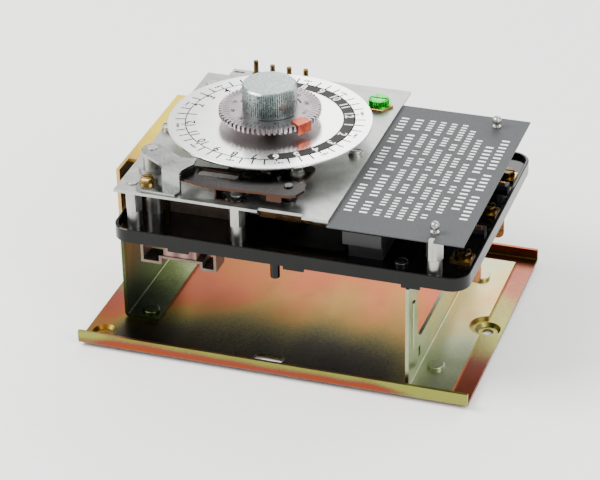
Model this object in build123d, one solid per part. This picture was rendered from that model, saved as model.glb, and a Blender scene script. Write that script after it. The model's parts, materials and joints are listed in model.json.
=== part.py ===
from build123d import *
import os
from math import acos, atan2, cos, degrees, hypot, pi, radians, sin, tan

# A 24-hour programmable timer on an open steel chassis, in millimetres.
# The origin is under the middle of the base plate, on the plane its feet rest on.
# X runs along the front edge, Y to the back, Z up.

# fits
press_gap = 0.02            # radial gap of a pressed or threaded fit
pin_gap = 0.05              # radial gap of a running fit or a rivet in its hole
stack_gap = 0.02            # gap between faces that rub or seat
free_gap = 0.3              # gap between pieces that only pass each other

# base plate
base_length = 175.0
base_width = 125.3
base_thick = 1.5
flange_height = 6.5
bend_inner = 0.6
foot_depth = 1.5            # how far each dimple is pressed below the plate
foot_rim_r = 6.2
foot_floor_r = 4.8
mount_hole_r = 2.5
foot_press = 0.6            # how much narrower the dimple is inside than outside
foot_left_margin = 8.2      # from the plate's left edge to the two left feet
foot_right_margin = 6.7     # from the plate's right edge to the single right foot
foot_side_margin = 10.65    # from the flanges to the left feet and the slots
foot_right_y = -2.5
base_slot_x = -3.3
base_slot_length = 13.7
base_slot_width = 5.0

# brackets
bracket_thick = 1.5
left_wall_x = -75.3
left_front_y = -38.0
left_back_y = 36.0
left_foot_reach = 15.7
left_top_reach = 13.3
left_top_front_y = -27.0
right_wall_x = 59.3
right_front_y = -58.0
right_back_y = 54.0
right_foot_reach = 19.75
right_leg_length = 14.0
right_rail_height = 15.5
right_corner_r = 6.0
right_tab_reach = 9.0
right_tab_width = 9.0
right_tab_margin = 9.5      # from the leg's outer edge to the middle of its tab
right_window = (1.0, 4.0, 6.5, 11.5)     # y from the front leg, z above the base plate
right_rib = (5.5, 8.5, 16.0, 39.0)       # y from the front edge, z above the base plate
right_rib_height = 0.8
right_notch_r = 8.2
button_r = 3.7
button_height = 1.5
button_shank_r = 1.9
button_left_share = 0.675   # place of the buttons across each foot
button_right_share = 0.43
button_left_margin = 5.1    # from the left bracket's ends to its buttons
button_right_margins = (18.0, 17.6)

# terminal board
board_height = 56.3         # board floor above the underside of the base plate
board_left_x = -71.5
board_right_x = 84.7
board_front_y = -57.5
board_back_y = 57.0
board_corner_r = 8.0
board_floor = 2.2
board_wall = 1.5
board_rim = 2.0
board_skirt = 2.0
board_tab_depth = 1.5
peg_r = 2.05
peg_drop = 10.5
peg_x = 1.0
peg_margin = 4.5            # from the board's front edge
snap_tabs = ((-45.4, -36.2), (6.0, 15.0), (57.2, 65.3))
motor_window = (-52.0, -22.0, -33.0, -16.0)

# posts and top plate
post_length = 19.05
post_width = 6.35
post_round_share = 0.4
post_spots = [(-63.2, -48.7), (-16.8, -48.7), (-63.2, 48.7)]
tapped_spots = [(16.2, 47.9), (19.8, 1.6)]
stake_r = 2.6
stake_height = 0.6
tenon_r = 1.8
screw_r = 1.6
screw_head_r = 2.9
screw_head_height = 1.7
slot_width = 0.8            # driver slot of the small screws
slot_depth = 0.8
thread_depth = 5.5          # how far a screw enters a post
tap_spare = 1.0             # how much deeper the tapped hole is
screw_spare = 2.0           # how far a through screw shows past the last sheet
plate_thick = 1.3
plate_left_x = -68.85
plate_right_x = 25.9
plate_front_y = -56.7
plate_back_y = 65.7
plate_step_x = -58.7
plate_step_y = 58.7
plate_recess = (-5.0, 14.5)
plate_recess_depth = 2.2
hanger_slot = (-57.7, -52.5)
bracket_screw_spot = (-65.8, 0.9)
washer_thick = 0.8
guide_thick = 0.7
star_thick = 0.6
cup_thick = 1.2             # hexagonal cup washer under the ground screw
cup_across = 11.4
bush_r = 3.8

# insulator sheet
sheet_thick = 0.5
sheet_tuck = 6.4
sheet_right_x = 84.0
sheet_front_y = -59.4
sheet_back_y = 54.2
stud_spots = [(70.0, -52.0), (71.0, 45.0)]
ball_r = 2.1
stud_r = 1.2
stud_neck_r = 0.9
stud_collar_r = 1.8
stud_collar_height = 0.8
stud_neck_height = 2.4
stud_depth = 3.0            # how far a ball stud enters its post
sheet_notch_width = 2.4
sheet_notch_inset = 3.0     # from the end of the notch to the stud

# dials
dial_x = -19.0
dial_y = 2.1
hour_dial_r = 44.45
hour_dial_thick = 0.9
hour_dial_lift = 10.1       # underside of the hour dial above the top plate
trip_hole_r = 0.8
trip_hole_circle = 40.0
trip_hole_count = 12
trip_hole_first = 24.0
minute_dial_r = 22.26
minute_dial_thick = 2.3
minute_dial_lift = 3.9      # underside of the minute dial above the hour dial
minute_teeth = 60
minute_tooth_depth = 1.5
knob_r = 11.93
knob_height = 11.4
knob_flutes = 75
knob_flute_depth = 0.45
knob_chamfer = 0.8
arbor_r = 2.4
hub_r = 4.6
hub_flange_r = 10.0
hub_rivet_circle = 7.6
hub_rivet_r = 0.8
slider_angle = -31.0
slider_width = 7.0
slider_thick = 0.7
slider_inner_r = 17.4
slider_drop = 1.5

# gears
motion_centres = 16.8       # arbor to idler stud
minute_pinion_teeth = 12
idler_wheel_teeth = 36
idler_pinion_teeth = 10
hour_wheel_teeth = 40
drive_wheel_teeth = 60
motor_pinion_teeth = 10
drive_module = 0.5
backlash = 0.1
pinion_tip = 0.9
wheel_tip = 0.6
tooth_root = 1.2
idler_direction = 90.0
motor_direction = 180.0
wheel_thick = 1.6
wheel_margin = 0.4          # idler parts stand off the wheels they don't mesh with
drive_wheel_drop = 1.2      # top of the drive wheel below the top plate
drive_hub_r = 4.5
drive_hub_height = 2.2
drive_window_r = 3.2
drive_window_circle = 9.2
minute_pinion_lift = 1.2
minute_pinion_height = 2.4
hub_flange_thick = 0.6
idler_stud_r = 1.2
idler_hub_r = 2.3
motor_shaft_r = 0.9

# motor
gearbox_r = 14.0
gearbox_height = 13.6
motor_box = (-54.0, -20.0, -34.0, -15.6)
motor_box_height = 17.0
motor_shell = 1.0
bearing_r = 2.6
bearing_height = 0.8
shaft_depth = 5.0           # how far the motor's shaft enters the gearbox
core_height = 12.0
coil_box = (-50.0, -34.0, -31.5, -17.5)
coil_drop = 9.0
strap_front_y = -52.0
strap_back_y = -42.0
strap_thick = 1.2
strap_left_x = -58.9
strap_right_x = -27.0
strap_loop_drop = 12.6
strap_middle_drop = 9.6

# levers
lever_lift = 5.65           # underside of the trip lever above the top plate
lever_thick = 1.2
lever_pivot = (5.1, -45.2)
lever_post_r = 2.0
lever_rivet_r = 1.4
release_lift = 2.9
release_thick = 1.0
release_pivot = (3.5, -29.0)
spring_rivet_spot = (4.0, -37.4)
spring_rivet_r = 0.8
spring_thick = 0.4
spring_reach = 14.0
pusher_spot = (-11.0, -42.0)
pusher_width = 4.0
pusher_thick = 1.6
pusher_drop = 16.0
arm_lift = 8.75             # underside of the pointer arm above the top plate
arm_thick = 1.2
spool_spot = (-59.3, -34.7)
spool_r = 4.2
spool_flange_r = 6.2
spool_lower_r = 4.0
spool_neck_r = 3.0
spool_tenon_r = 1.6
arm_screw_spot = (-56.4, -49.1)

# switch and terminals
block_box = (29.8, 46.6, -50.0, -24.0)
block_height = 12.4
blade_length = 40.0
blade_width = 4.0
blade_thick = 0.35
blade_pitch = 2.6
blade_root = 7.9            # length held in the switch block
blade_sink = 5.0            # lower edge of the blades below the block's top
contact_r = 1.4
contact_height = 0.7
contact_inset = 3.0         # from the blade's free end
contact_pitch = 4.0
block_step = 6.0            # height of the block's overhanging upper half
block_inset = 2.0
blade_gap = 2.2             # from the resting pusher to the first blade
terminal_x = 78.2
terminal_ys = (-37.0, 3.5, 36.0)
tab_ys = (-14.2, 25.6)
tab_left_x = 71.0
tab_right_x = 80.0
tab_thick = 0.9
tab_drop = 22.8             # lower end of the hanging tabs below the board's underside
tab_rise = 3.0
tab_hole_r = 1.5
tab_hole_inset = 4.5
tab_hole_heights = (4.5, 15.2)
collar_margin = 1.6
collar_height = 2.2
pad_thick = 0.9
pad_half_width = 4.0
pad_left = 5.0
pad_right = 4.0
spare_pin_count = 4
spare_pin_pitch = 7.95
spare_pin_first_x = -46.6
spare_pin_y = 62.1
spare_pin_r = 1.15
spare_pin_tail_r = 0.6
spare_pin_heights = (7.4, 6.2, 6.2, 6.2)
spare_collar_r = 1.8
spare_collar_height = 1.2

# places worked out from the driving sizes
foot_left_x = -base_length / 2 + foot_left_margin
foot_right_x = base_length / 2 - foot_right_margin
foot_spacing = base_width - 2 * foot_side_margin

# levels worked out from the driving sizes
base_bottom_z = foot_depth
base_top_z = base_bottom_z + base_thick
board_top_z = base_bottom_z + board_height
board_under_z = board_top_z - board_floor
plate_bottom_z = board_top_z + post_length
plate_top_z = plate_bottom_z + plate_thick
hour_dial_z = plate_top_z + hour_dial_lift
minute_dial_z = hour_dial_z + hour_dial_thick + minute_dial_lift
knob_z = minute_dial_z + minute_dial_thick
lever_z = plate_top_z + lever_lift
release_z = plate_top_z + release_lift
arm_z = plate_top_z + arm_lift
sheet_z = plate_bottom_z - sheet_thick
drive_wheel_z = plate_bottom_z - drive_wheel_drop - wheel_thick
minute_pinion_z = plate_top_z + minute_pinion_lift
hour_wheel_z = hour_dial_z - hub_flange_thick - wheel_thick
dial_centre = (dial_x, dial_y)
motion_module = 2 * motion_centres / (minute_pinion_teeth + idler_wheel_teeth)
hour_module = 2 * motion_centres / (idler_pinion_teeth + hour_wheel_teeth)
motor_centres = drive_module * (drive_wheel_teeth + motor_pinion_teeth) / 2
idler_centre = (dial_x + motion_centres * cos(radians(idler_direction)),
                dial_y + motion_centres * sin(radians(idler_direction)))
motor_centre = (dial_x + motor_centres * cos(radians(motor_direction)),
                dial_y + motor_centres * sin(radians(motor_direction)))


def cylinder(spot, radius, bottom, top):
    # upright round bar centred on spot
    height = top - bottom
    return Pos(spot[0], spot[1], bottom + height / 2) * Cylinder(radius, height)


def cone(spot, bottom_r, top_r, bottom, top):
    height = top - bottom
    return Pos(spot[0], spot[1], bottom + height / 2) * Cone(bottom_r, top_r, height)


def block(x0, x1, y0, y1, z0, z1):
    # box between two corners
    middle = Pos((x0 + x1) / 2, (y0 + y1) / 2, (z0 + z1) / 2)
    return middle * Box(x1 - x0, y1 - y0, z1 - z0)


def prism(points, bottom, top):
    # flat outline carried up from bottom to top
    outline = make_face(Polyline(*points, close=True))
    return Pos(0, 0, bottom) * extrude(outline, top - bottom)


def hexagon(spot, across_flats, bottom, top):
    outline = RegularPolygon(across_flats / 2, 6, major_radius=False)
    return Pos(spot[0], spot[1], bottom) * extrude(outline, top - bottom)


def round_edge(body, axis, spot, radius):
    # rounds the edge along axis that lies nearest to spot, given in the other two directions
    def miss(edge):
        middle = edge.center()
        flat = {Axis.X: (middle.Y, middle.Z), Axis.Y: (middle.X, middle.Z), Axis.Z: (middle.X, middle.Y)}
        return hypot(flat[axis][0] - spot[0], flat[axis][1] - spot[1])
    nearest = sorted(body.edges().filter_by(axis), key=miss)[0]
    return fillet(nearest, radius)


def slot_cutter(x, y, length, width, bottom, top):
    # a round-ended slot along X
    outline = SlotOverall(length, width)
    return Pos(x, y, bottom) * extrude(outline, top - bottom)


def strip(points, thick, start, end):
    # sheet of even thickness along a path in the XZ plane, carried from y start to y end
    count = len(points)
    normals = []
    for i in range(count - 1):
        dx = points[i + 1][0] - points[i][0]
        dz = points[i + 1][1] - points[i][1]
        run = hypot(dx, dz)
        normals.append((-dz / run, dx / run))
    side = []
    for i in range(count):
        before = normals[max(i - 1, 0)]
        after = normals[min(i, count - 2)]
        scale = thick / (1 + before[0] * after[0] + before[1] * after[1])
        side.append((points[i][0] + scale * (before[0] + after[0]),
                     points[i][1] + scale * (before[1] + after[1])))
    outline = list(points) + side[::-1]
    face = make_face(Plane.XZ * Polyline(*outline, close=True))
    return Pos(0, start, 0) * extrude(face, end - start, dir=(0, 1, 0))


def gear_outline(teeth, module, tip, phase):
    # involute teeth of 20 degrees, thinned by the backlash, with a tooth at the phase angle
    pitch_r = teeth * module / 2
    base_r = pitch_r * cos(radians(20))
    inv_pitch = tan(radians(20)) - radians(20)
    half = pi / (2 * teeth) - backlash / (2 * pitch_r)
    root_r = pitch_r - tooth_root * module
    tip_r = pitch_r + tip * module
    start_r = max(base_r, root_r)
    flank = [(root_r, half + inv_pitch)] if root_r < base_r else []
    for i in range(4):
        r = start_r + (tip_r - start_r) * i / 3
        pressure = acos(min(1.0, base_r / r))
        flank.append((r, half + inv_pitch - (tan(pressure) - pressure)))
    points = []
    for tooth in range(teeth):
        middle = phase + 2 * pi * tooth / teeth
        points += [(r * cos(middle - a), r * sin(middle - a)) for r, a in flank]
        points += [(r * cos(middle + a), r * sin(middle + a)) for r, a in reversed(flank)]
    return points


def gear(spot, teeth, module, tip, phase, bottom, top):
    return Pos(spot[0], spot[1], 0) * prism(gear_outline(teeth, module, tip, phase), bottom, top)


def meshed_phase(direction, teeth):
    # phase that puts a gap towards the other gear, which has a tooth on the line of centres
    return radians(direction) + pi + pi / teeth


def disc_outline(teeth, outer_r, inner_r, land):
    # evenly notched rim: land is the share of the pitch that a tooth's tip fills
    points = []
    for tooth in range(teeth):
        middle = 2 * pi * tooth / teeth
        tip = pi * land / teeth
        root = pi * (land + 0.25) / teeth
        points += [(inner_r * cos(middle - root), inner_r * sin(middle - root)),
                   (outer_r * cos(middle - tip), outer_r * sin(middle - tip)),
                   (outer_r * cos(middle + tip), outer_r * sin(middle + tip)),
                   (inner_r * cos(middle + root), inner_r * sin(middle + root))]
    return points


def make_base_plate():
    half_x = base_length / 2
    half_y = base_width / 2
    plate = block(-half_x, half_x, -half_y, half_y, base_bottom_z, base_top_z)
    for side in (-1, 1):
        outer = side * half_y
        inner = side * (half_y - base_thick)
        low, high = min(outer, inner), max(outer, inner)
        plate += block(-half_x, half_x, low, high, base_bottom_z, base_bottom_z + flange_height)
    for side in (-1, 1):
        plate = round_edge(plate, Axis.X, (side * half_y, base_bottom_z), bend_inner + base_thick)
        plate = round_edge(plate, Axis.X, (side * (half_y - base_thick), base_top_z), bend_inner)
    feet = [(foot_left_x, -foot_spacing / 2), (foot_left_x, foot_spacing / 2), (foot_right_x, foot_right_y)]
    for spot in feet:
        plate += cone(spot, foot_floor_r, foot_rim_r, 0, foot_depth)
    for spot in feet:
        plate -= cone(spot, foot_floor_r - foot_press, foot_rim_r - foot_press, foot_depth, base_top_z)
        plate -= cylinder(spot, mount_hole_r, -1, base_top_z + 1)
    for side in (-1, 1):
        plate -= slot_cutter(base_slot_x, side * foot_spacing / 2, base_slot_length,
                             base_slot_width, base_bottom_z - 1, base_top_z + 1)
    for spot in button_spots():
        plate -= cylinder(spot, button_shank_r + pin_gap, base_bottom_z - 1, base_top_z + 1)
    return plate


def button_spots():
    left_x = left_wall_x + left_foot_reach * button_left_share
    right_x = right_wall_x + right_foot_reach * button_right_share
    return [(left_x, left_front_y + button_left_margin), (left_x, left_back_y - button_left_margin),
            (right_x, right_front_y + button_right_margins[0]),
            (right_x, right_back_y - button_right_margins[1])]


def make_bracket_buttons():
    # domed clinch buttons that hold both bracket feet down
    top = base_top_z + bracket_thick
    buttons = []
    for spot in button_spots():
        head = cylinder(spot, button_r, top, top + button_height)
        head = fillet(head.edges().group_by(Axis.Z)[-1], 0.5)
        shank = cylinder(spot, button_shank_r, base_bottom_z, top)
        buttons.append(head + shank)
    return buttons


def make_left_bracket():
    # C channel: wall, foot on the base plate, shorter top flange under the top plate
    wall_in = left_wall_x + bracket_thick
    foot_end = left_wall_x + left_foot_reach
    top_end = left_wall_x + left_top_reach
    foot_top = base_top_z + bracket_thick
    flange_bottom = plate_bottom_z - bracket_thick
    body = block(left_wall_x, wall_in, left_front_y, left_back_y, base_top_z, plate_bottom_z)
    body += block(wall_in, foot_end, left_front_y, left_back_y, base_top_z, foot_top)
    body = round_edge(body, Axis.Y, (left_wall_x, base_top_z), bend_inner + bracket_thick)
    body = round_edge(body, Axis.Y, (wall_in, foot_top), bend_inner)
    body += block(wall_in, top_end, left_top_front_y, left_back_y, flange_bottom, plate_bottom_z)
    body -= cylinder(bracket_screw_spot, screw_r + pin_gap, flange_bottom - 1, plate_bottom_z + 1)
    for spot in button_spots()[:2]:
        body -= cylinder(spot, button_shank_r + pin_gap, base_top_z - 1, foot_top + 1)
    return body


def make_right_bracket():
    # Z bracket: foot outwards, low rail, a leg at each end with a tab under the board
    wall_in = right_wall_x + bracket_thick
    foot_end = right_wall_x + right_foot_reach
    foot_top = base_top_z + bracket_thick
    leg_top = board_under_z - board_skirt - board_tab_depth - free_gap
    rail_top = base_top_z + right_rail_height
    legs = [(right_front_y, right_front_y + right_leg_length),
            (right_back_y - right_leg_length, right_back_y)]
    body = block(right_wall_x, wall_in, right_front_y, right_back_y, base_top_z, rail_top)
    body += block(wall_in, foot_end, right_front_y, right_back_y, base_top_z, foot_top)
    body = round_edge(body, Axis.Y, (right_wall_x, base_top_z), bend_inner + bracket_thick)
    body = round_edge(body, Axis.Y, (wall_in, foot_top), bend_inner)
    for low, high in legs:
        body += block(right_wall_x, wall_in, low, high, rail_top, leg_top)
    body = round_edge(body, Axis.X, (legs[0][1], rail_top), right_corner_r)
    body = round_edge(body, Axis.X, (legs[1][0], rail_top), right_corner_r)
    for spot_y in right_tab_ys():
        low = spot_y - right_tab_width / 2
        high = spot_y + right_tab_width / 2
        body += block(right_wall_x, wall_in, low, high, leg_top, board_under_z)
        body += block(right_wall_x - right_tab_reach, wall_in, low, high,
                      board_under_z - bracket_thick, board_under_z)
    for spot in right_screw_spots():
        body -= cylinder(spot, screw_r + pin_gap, board_under_z - bracket_thick - 1, board_under_z + 1)
    body -= cylinder((foot_right_x, foot_right_y), right_notch_r, base_top_z - 1, foot_top + 1)
    y0, y1, z0, z1 = right_window
    body -= block(right_wall_x - 1, wall_in + 1, legs[0][1] + y0, legs[0][1] + y1,
                  base_top_z + z0, base_top_z + z1)
    y0, y1, z0, z1 = right_rib
    rib = block(wall_in, wall_in + right_rib_height, right_front_y + y0, right_front_y + y1,
                base_top_z + z0, base_top_z + z1)
    body += fillet(rib.edges().group_by(Axis.X)[-1], 0.6)
    for spot in button_spots()[2:]:
        body -= cylinder(spot, button_shank_r + pin_gap, base_top_z - 1, foot_top + 1)
    return body


def right_tab_ys():
    return (right_front_y + right_tab_margin, right_back_y - right_tab_margin)


def right_screw_spots():
    x = right_wall_x - right_tab_reach / 2
    return [(x, y) for y in right_tab_ys()]


def make_terminal_board():
    # moulded tray: floor, rim above it, skirt below it, snap tabs and a locating peg
    length = board_right_x - board_left_x
    width = board_back_y - board_front_y
    centre = Pos((board_left_x + board_right_x) / 2, (board_front_y + board_back_y) / 2, 0)
    skirt_z = board_under_z - board_skirt
    rim_z = board_top_z + board_rim
    outer = RectangleRounded(length, width, board_corner_r)
    inner = RectangleRounded(length - 2 * board_wall, width - 2 * board_wall, board_corner_r - board_wall)
    ring = centre * Pos(0, 0, skirt_z) * extrude(outer - inner, rim_z - skirt_z)
    ring = chamfer(ring.edges().group_by(Axis.Z)[-1], 0.3)
    floor = centre * Pos(0, 0, board_under_z) * extrude(inner, board_floor)
    board = ring + floor
    for low, high in snap_tabs:
        for edge, side in ((board_front_y, 1), (board_back_y, -1)):
            y0, y1 = sorted((edge, edge + side * board_wall))
            board += block(low, high, y0, y1, skirt_z - board_tab_depth, skirt_z)
    peg = cylinder((peg_x, board_front_y + peg_margin), peg_r, board_under_z - peg_drop, board_under_z)
    board += fillet(peg.edges().group_by(Axis.Z)[0], 0.4)
    x0, x1, y0, y1 = motor_window
    board -= block(x0, x1, y0, y1, board_under_z - 1, board_top_z + 1)
    holes = post_spots + tapped_spots + stud_spots + right_screw_spots()
    for spot in holes:
        board -= cylinder(spot, screw_r + pin_gap, board_under_z - 1, board_top_z + 1)
    for y in terminal_ys:
        board -= cylinder((terminal_x, y), screw_r + pin_gap, board_under_z - 1, board_top_z + 1)
    for y in tab_ys:
        board -= block(tab_left_x - pin_gap, tab_right_x + pin_gap, y - pin_gap,
                       y + tab_thick + pin_gap, board_under_z - 1, board_top_z + 1)
    board -= cylinder(dial_centre, arbor_r + pin_gap, board_under_z - 1, board_top_z + 1)
    return board


def make_board_screws():
    # pan heads under the board, threaded up into the posts
    screws = []
    for spot in post_spots + tapped_spots + stud_spots:
        head = cylinder(spot, screw_head_r, board_under_z - screw_head_height, board_under_z)
        head = fillet(head.edges().group_by(Axis.Z)[0], 0.6)
        screws.append(head + cylinder(spot, screw_r, board_under_z, board_top_z + thread_depth))
    return screws


def make_bracket_screws():
    # slotted screws down through the board into the right bracket's tabs
    screws = []
    for spot in right_screw_spots():
        head = cylinder(spot, screw_head_r, board_top_z, board_top_z + screw_head_height)
        head = fillet(head.edges().group_by(Axis.Z)[-1], 0.6)
        head -= block(spot[0] - screw_head_r, spot[0] + screw_head_r, spot[1] - slot_width / 2,
                      spot[1] + slot_width / 2, board_top_z + screw_head_height - slot_depth,
                      board_top_z + screw_head_height + 1)
        low = board_under_z - bracket_thick - screw_spare
        screws.append(head + cylinder(spot, screw_r, low, board_top_z))
    return screws


def post_body(spot, length):
    # round lower part, hexagonal upper part, tapped at the foot
    split = board_top_z + post_length * post_round_share
    low = cylinder(spot, post_width / 2, board_top_z, split)
    low = chamfer(low.edges().group_by(Axis.Z)[-1], 0.25)
    high = hexagon(spot, post_width, split, board_top_z + length)
    body = low + high
    hole_top = board_top_z + thread_depth + tap_spare
    return body - cylinder(spot, screw_r + press_gap, board_top_z - 1, hole_top)


def make_plate_posts():
    posts = []
    for spot in post_spots:
        seat = plate_top_z + washer_lift(spot)
        head = cylinder(spot, stake_r, seat, seat + stake_height)
        head = fillet(head.edges().group_by(Axis.Z)[-1], 0.3)
        neck = cylinder(spot, tenon_r, plate_bottom_z, seat)
        posts.append(post_body(spot, post_length) + neck + head)
    for spot in tapped_spots:
        hole_low = plate_bottom_z - thread_depth - tap_spare
        hole = cylinder(spot, screw_r + press_gap, hole_low, plate_bottom_z + 1)
        posts.append(post_body(spot, post_length) - hole)
    return posts


def washer_lift(spot):
    # the middle front post also clamps the lever guide and a star washer
    return guide_thick + star_thick if spot == post_spots[1] else 0.0


def make_lever_guide():
    # small bent bracket clamped by the middle front post, with a lug under the trip lever
    x, y = post_spots[1]
    top = plate_top_z + guide_thick
    foot = block(x - 8.0, x + 4.5, y - 4.5, y + 4.5, plate_top_z, top)
    lug = block(x - 8.0, x - 8.0 + guide_thick, y - 4.5, y + 2.5, top, lever_z - free_gap)
    lug = fillet(lug.edges().filter_by(Axis.X).group_by(Axis.Z)[-1], 1.2)
    return foot + lug - cylinder((x, y), tenon_r + pin_gap, plate_top_z - 1, top + 1)


def make_star_washer():
    spot = post_spots[1]
    bottom = plate_top_z + guide_thick
    ring = Pos(spot[0], spot[1], 0) * prism(disc_outline(12, 5.5, 4.3, 0.45), bottom, bottom + star_thick)
    return ring - cylinder(spot, tenon_r + pin_gap, bottom - 1, bottom + star_thick + 1)


def make_top_plate():
    outline = [(plate_left_x, plate_front_y), (plate_recess[0], plate_front_y),
               (plate_recess[0], plate_front_y + plate_recess_depth),
               (plate_recess[1], plate_front_y + plate_recess_depth),
               (plate_recess[1], plate_front_y), (plate_right_x, plate_front_y),
               (plate_right_x, plate_back_y), (plate_step_x, plate_back_y),
               (plate_step_x, plate_step_y), (plate_left_x, plate_step_y)]
    plate = prism(outline, plate_bottom_z, plate_top_z)
    below = plate_bottom_z - 1
    above = plate_top_z + 1
    plate -= slot_cutter(sum(hanger_slot) / 2, plate_back_y - 2.8, hanger_slot[1] - hanger_slot[0],
                         1.6, below, above)
    for spot in post_spots:
        plate -= cylinder(spot, tenon_r + pin_gap, below, above)
    for spot in tapped_spots + [bracket_screw_spot, arm_screw_spot]:
        plate -= cylinder(spot, screw_r + pin_gap, below, above)
    plate -= cylinder(spool_spot, spool_neck_r + press_gap, below, above)
    plate -= cylinder(dial_centre, bush_r + press_gap, below, above)
    plate -= cylinder(idler_centre, idler_stud_r + press_gap, below, above)
    plate -= cylinder(lever_pivot, lever_post_r - 0.6 + press_gap, below, above)
    plate -= cylinder(release_pivot, lever_rivet_r + press_gap, below, above)
    x, y = pusher_spot
    plate -= block(x - pusher_width / 2 - 1.5, x + pusher_width / 2 + 1.5, y - 2.5, y + 3.5, below, above)
    for spot in spare_pin_spots():
        plate -= cylinder(spot, spare_pin_tail_r + pin_gap, below, above)
    plate -= cylinder(spring_rivet_spot, spring_rivet_r + pin_gap, below, above)
    return plate


def make_arbor_bush():
    # flanged brass bearing for the arbor, pressed into the top plate
    bush = cylinder(dial_centre, bush_r, plate_bottom_z, plate_top_z)
    bush += cylinder(dial_centre, bush_r + 1.4, plate_top_z, plate_top_z + 0.8)
    return bush - cylinder(dial_centre, arbor_r + pin_gap, plate_bottom_z - 1, plate_top_z + 2)


def make_stud_posts():
    hole_low = sheet_z - stud_depth - 1
    return [post_body(spot, post_length - sheet_thick)
            - cylinder(spot, stud_r + press_gap, hole_low, sheet_z + 1) for spot in stud_spots]


def make_ball_studs():
    # ball on a short neck, with a collar that holds the sheet down
    studs = []
    top = sheet_z + sheet_thick
    for spot in stud_spots:
        stud = cylinder(spot, stud_r, sheet_z - stud_depth, top)
        collar_top = top + stud_collar_height
        collar = cylinder(spot, stud_collar_r, top, collar_top)
        neck = cylinder(spot, stud_neck_r, collar_top, collar_top + stud_neck_height)
        ball = Pos(spot[0], spot[1], collar_top + stud_neck_height + 0.4) * Sphere(ball_r)
        studs.append(stud + collar + neck + ball)
    return studs


def make_insulator_sheet():
    # thin sheet on the two stud posts, its left edge tucked under the top plate
    left = plate_right_x - sheet_tuck
    below = sheet_z - 1
    above = sheet_z + 1
    sheet = block(left, sheet_right_x, sheet_front_y, sheet_back_y, sheet_z, sheet_z + sheet_thick)
    sheet -= block(left - 1, plate_right_x, sheet_front_y - 1, plate_front_y, below, above)
    for spot in stud_spots:
        sheet -= cylinder(spot, stud_r + pin_gap, below, above)
    notch_x, notch_y = stud_spots[0]
    half = sheet_notch_width / 2
    sheet -= block(notch_x - half, notch_x + half, sheet_front_y - 1, notch_y - sheet_notch_inset,
                   below, above)
    for spot in tapped_spots:
        sheet -= cylinder(spot, post_width / 2 + 1.0, below, above)
    return sheet


def make_hour_dial():
    top = hour_dial_z + hour_dial_thick
    dial = cylinder(dial_centre, hour_dial_r, hour_dial_z, top)
    dial = fillet(dial.edges().group_by(Axis.Z)[-1], 0.3)
    dial -= cylinder(dial_centre, hub_r + press_gap, hour_dial_z - 1, top + 1)
    for i in range(trip_hole_count):
        angle = radians(trip_hole_first + 360 * i / trip_hole_count)
        spot = (dial_x + trip_hole_circle * cos(angle), dial_y + trip_hole_circle * sin(angle))
        dial -= cylinder(spot, trip_hole_r, hour_dial_z - 1, top + 1)
    for spot in hub_rivet_spots():
        dial -= cylinder(spot, hub_rivet_r + press_gap, hour_dial_z - 1, top + 1)
    return dial


def hub_rivet_spots():
    angles = [radians(a) for a in (30, 150, 270)]
    return [(dial_x + hub_rivet_circle * cos(a), dial_y + hub_rivet_circle * sin(a)) for a in angles]


def make_hour_wheel():
    # wheel, flange under the hour dial and tube through it
    phase = radians(idler_direction)
    wheel = gear(dial_centre, hour_wheel_teeth, hour_module, wheel_tip, phase,
                 hour_wheel_z, hour_wheel_z + wheel_thick)
    flange = cylinder(dial_centre, hub_flange_r, hour_wheel_z + wheel_thick, hour_dial_z)
    tube = cylinder(dial_centre, hub_r, hour_wheel_z, hour_dial_z + hour_dial_thick + 0.8)
    wheel = wheel + flange + tube
    wheel -= cylinder(dial_centre, arbor_r + pin_gap, hour_wheel_z - 1, hour_dial_z + 10)
    for spot in hub_rivet_spots():
        wheel -= cylinder(spot, hub_rivet_r + press_gap, hour_wheel_z - 1, hour_dial_z + 1)
    return wheel


def make_hub_rivets():
    rivets = []
    top = hour_dial_z + hour_dial_thick
    for spot in hub_rivet_spots():
        head = cylinder(spot, 1.4, top, top + 0.5)
        head = fillet(head.edges().group_by(Axis.Z)[-1], 0.3)
        rivets.append(cylinder(spot, hub_rivet_r, hour_wheel_z, top) + head)
    return rivets


def make_minute_dial():
    rim = disc_outline(minute_teeth, minute_dial_r, minute_dial_r - minute_tooth_depth, 0.45)
    dial = Pos(dial_x, dial_y, 0) * prism(rim, minute_dial_z, knob_z)
    return dial - cylinder(dial_centre, arbor_r + press_gap, minute_dial_z - 1, knob_z + 1)


def make_setting_knob():
    # knurled drum with a chamfered top edge
    points = []
    for i in range(knob_flutes):
        for share, r in ((0.0, knob_r), (0.3, knob_r), (0.65, knob_r - knob_flute_depth)):
            angle = 2 * pi * (i + share) / knob_flutes
            points.append((r * cos(angle), r * sin(angle)))
    top = knob_z + knob_height
    knob = Pos(dial_x, dial_y, 0) * prism(points, knob_z, top)
    cap = cylinder(dial_centre, knob_r + 1, knob_z, top)
    cap = chamfer(cap.edges().group_by(Axis.Z)[-1], knob_chamfer + 1)
    knob = knob & cap
    return knob - cylinder(dial_centre, arbor_r + press_gap, knob_z - 1, top - 2.5)


def make_arbor():
    # one shaft from the board to the knob, with the minute pinion cut on it
    arbor = cylinder(dial_centre, arbor_r, board_under_z, knob_z + knob_height - 2.6)
    pinion = gear(dial_centre, minute_pinion_teeth, motion_module, pinion_tip,
                  radians(idler_direction), minute_pinion_z, minute_pinion_z + minute_pinion_height)
    return arbor + pinion


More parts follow.
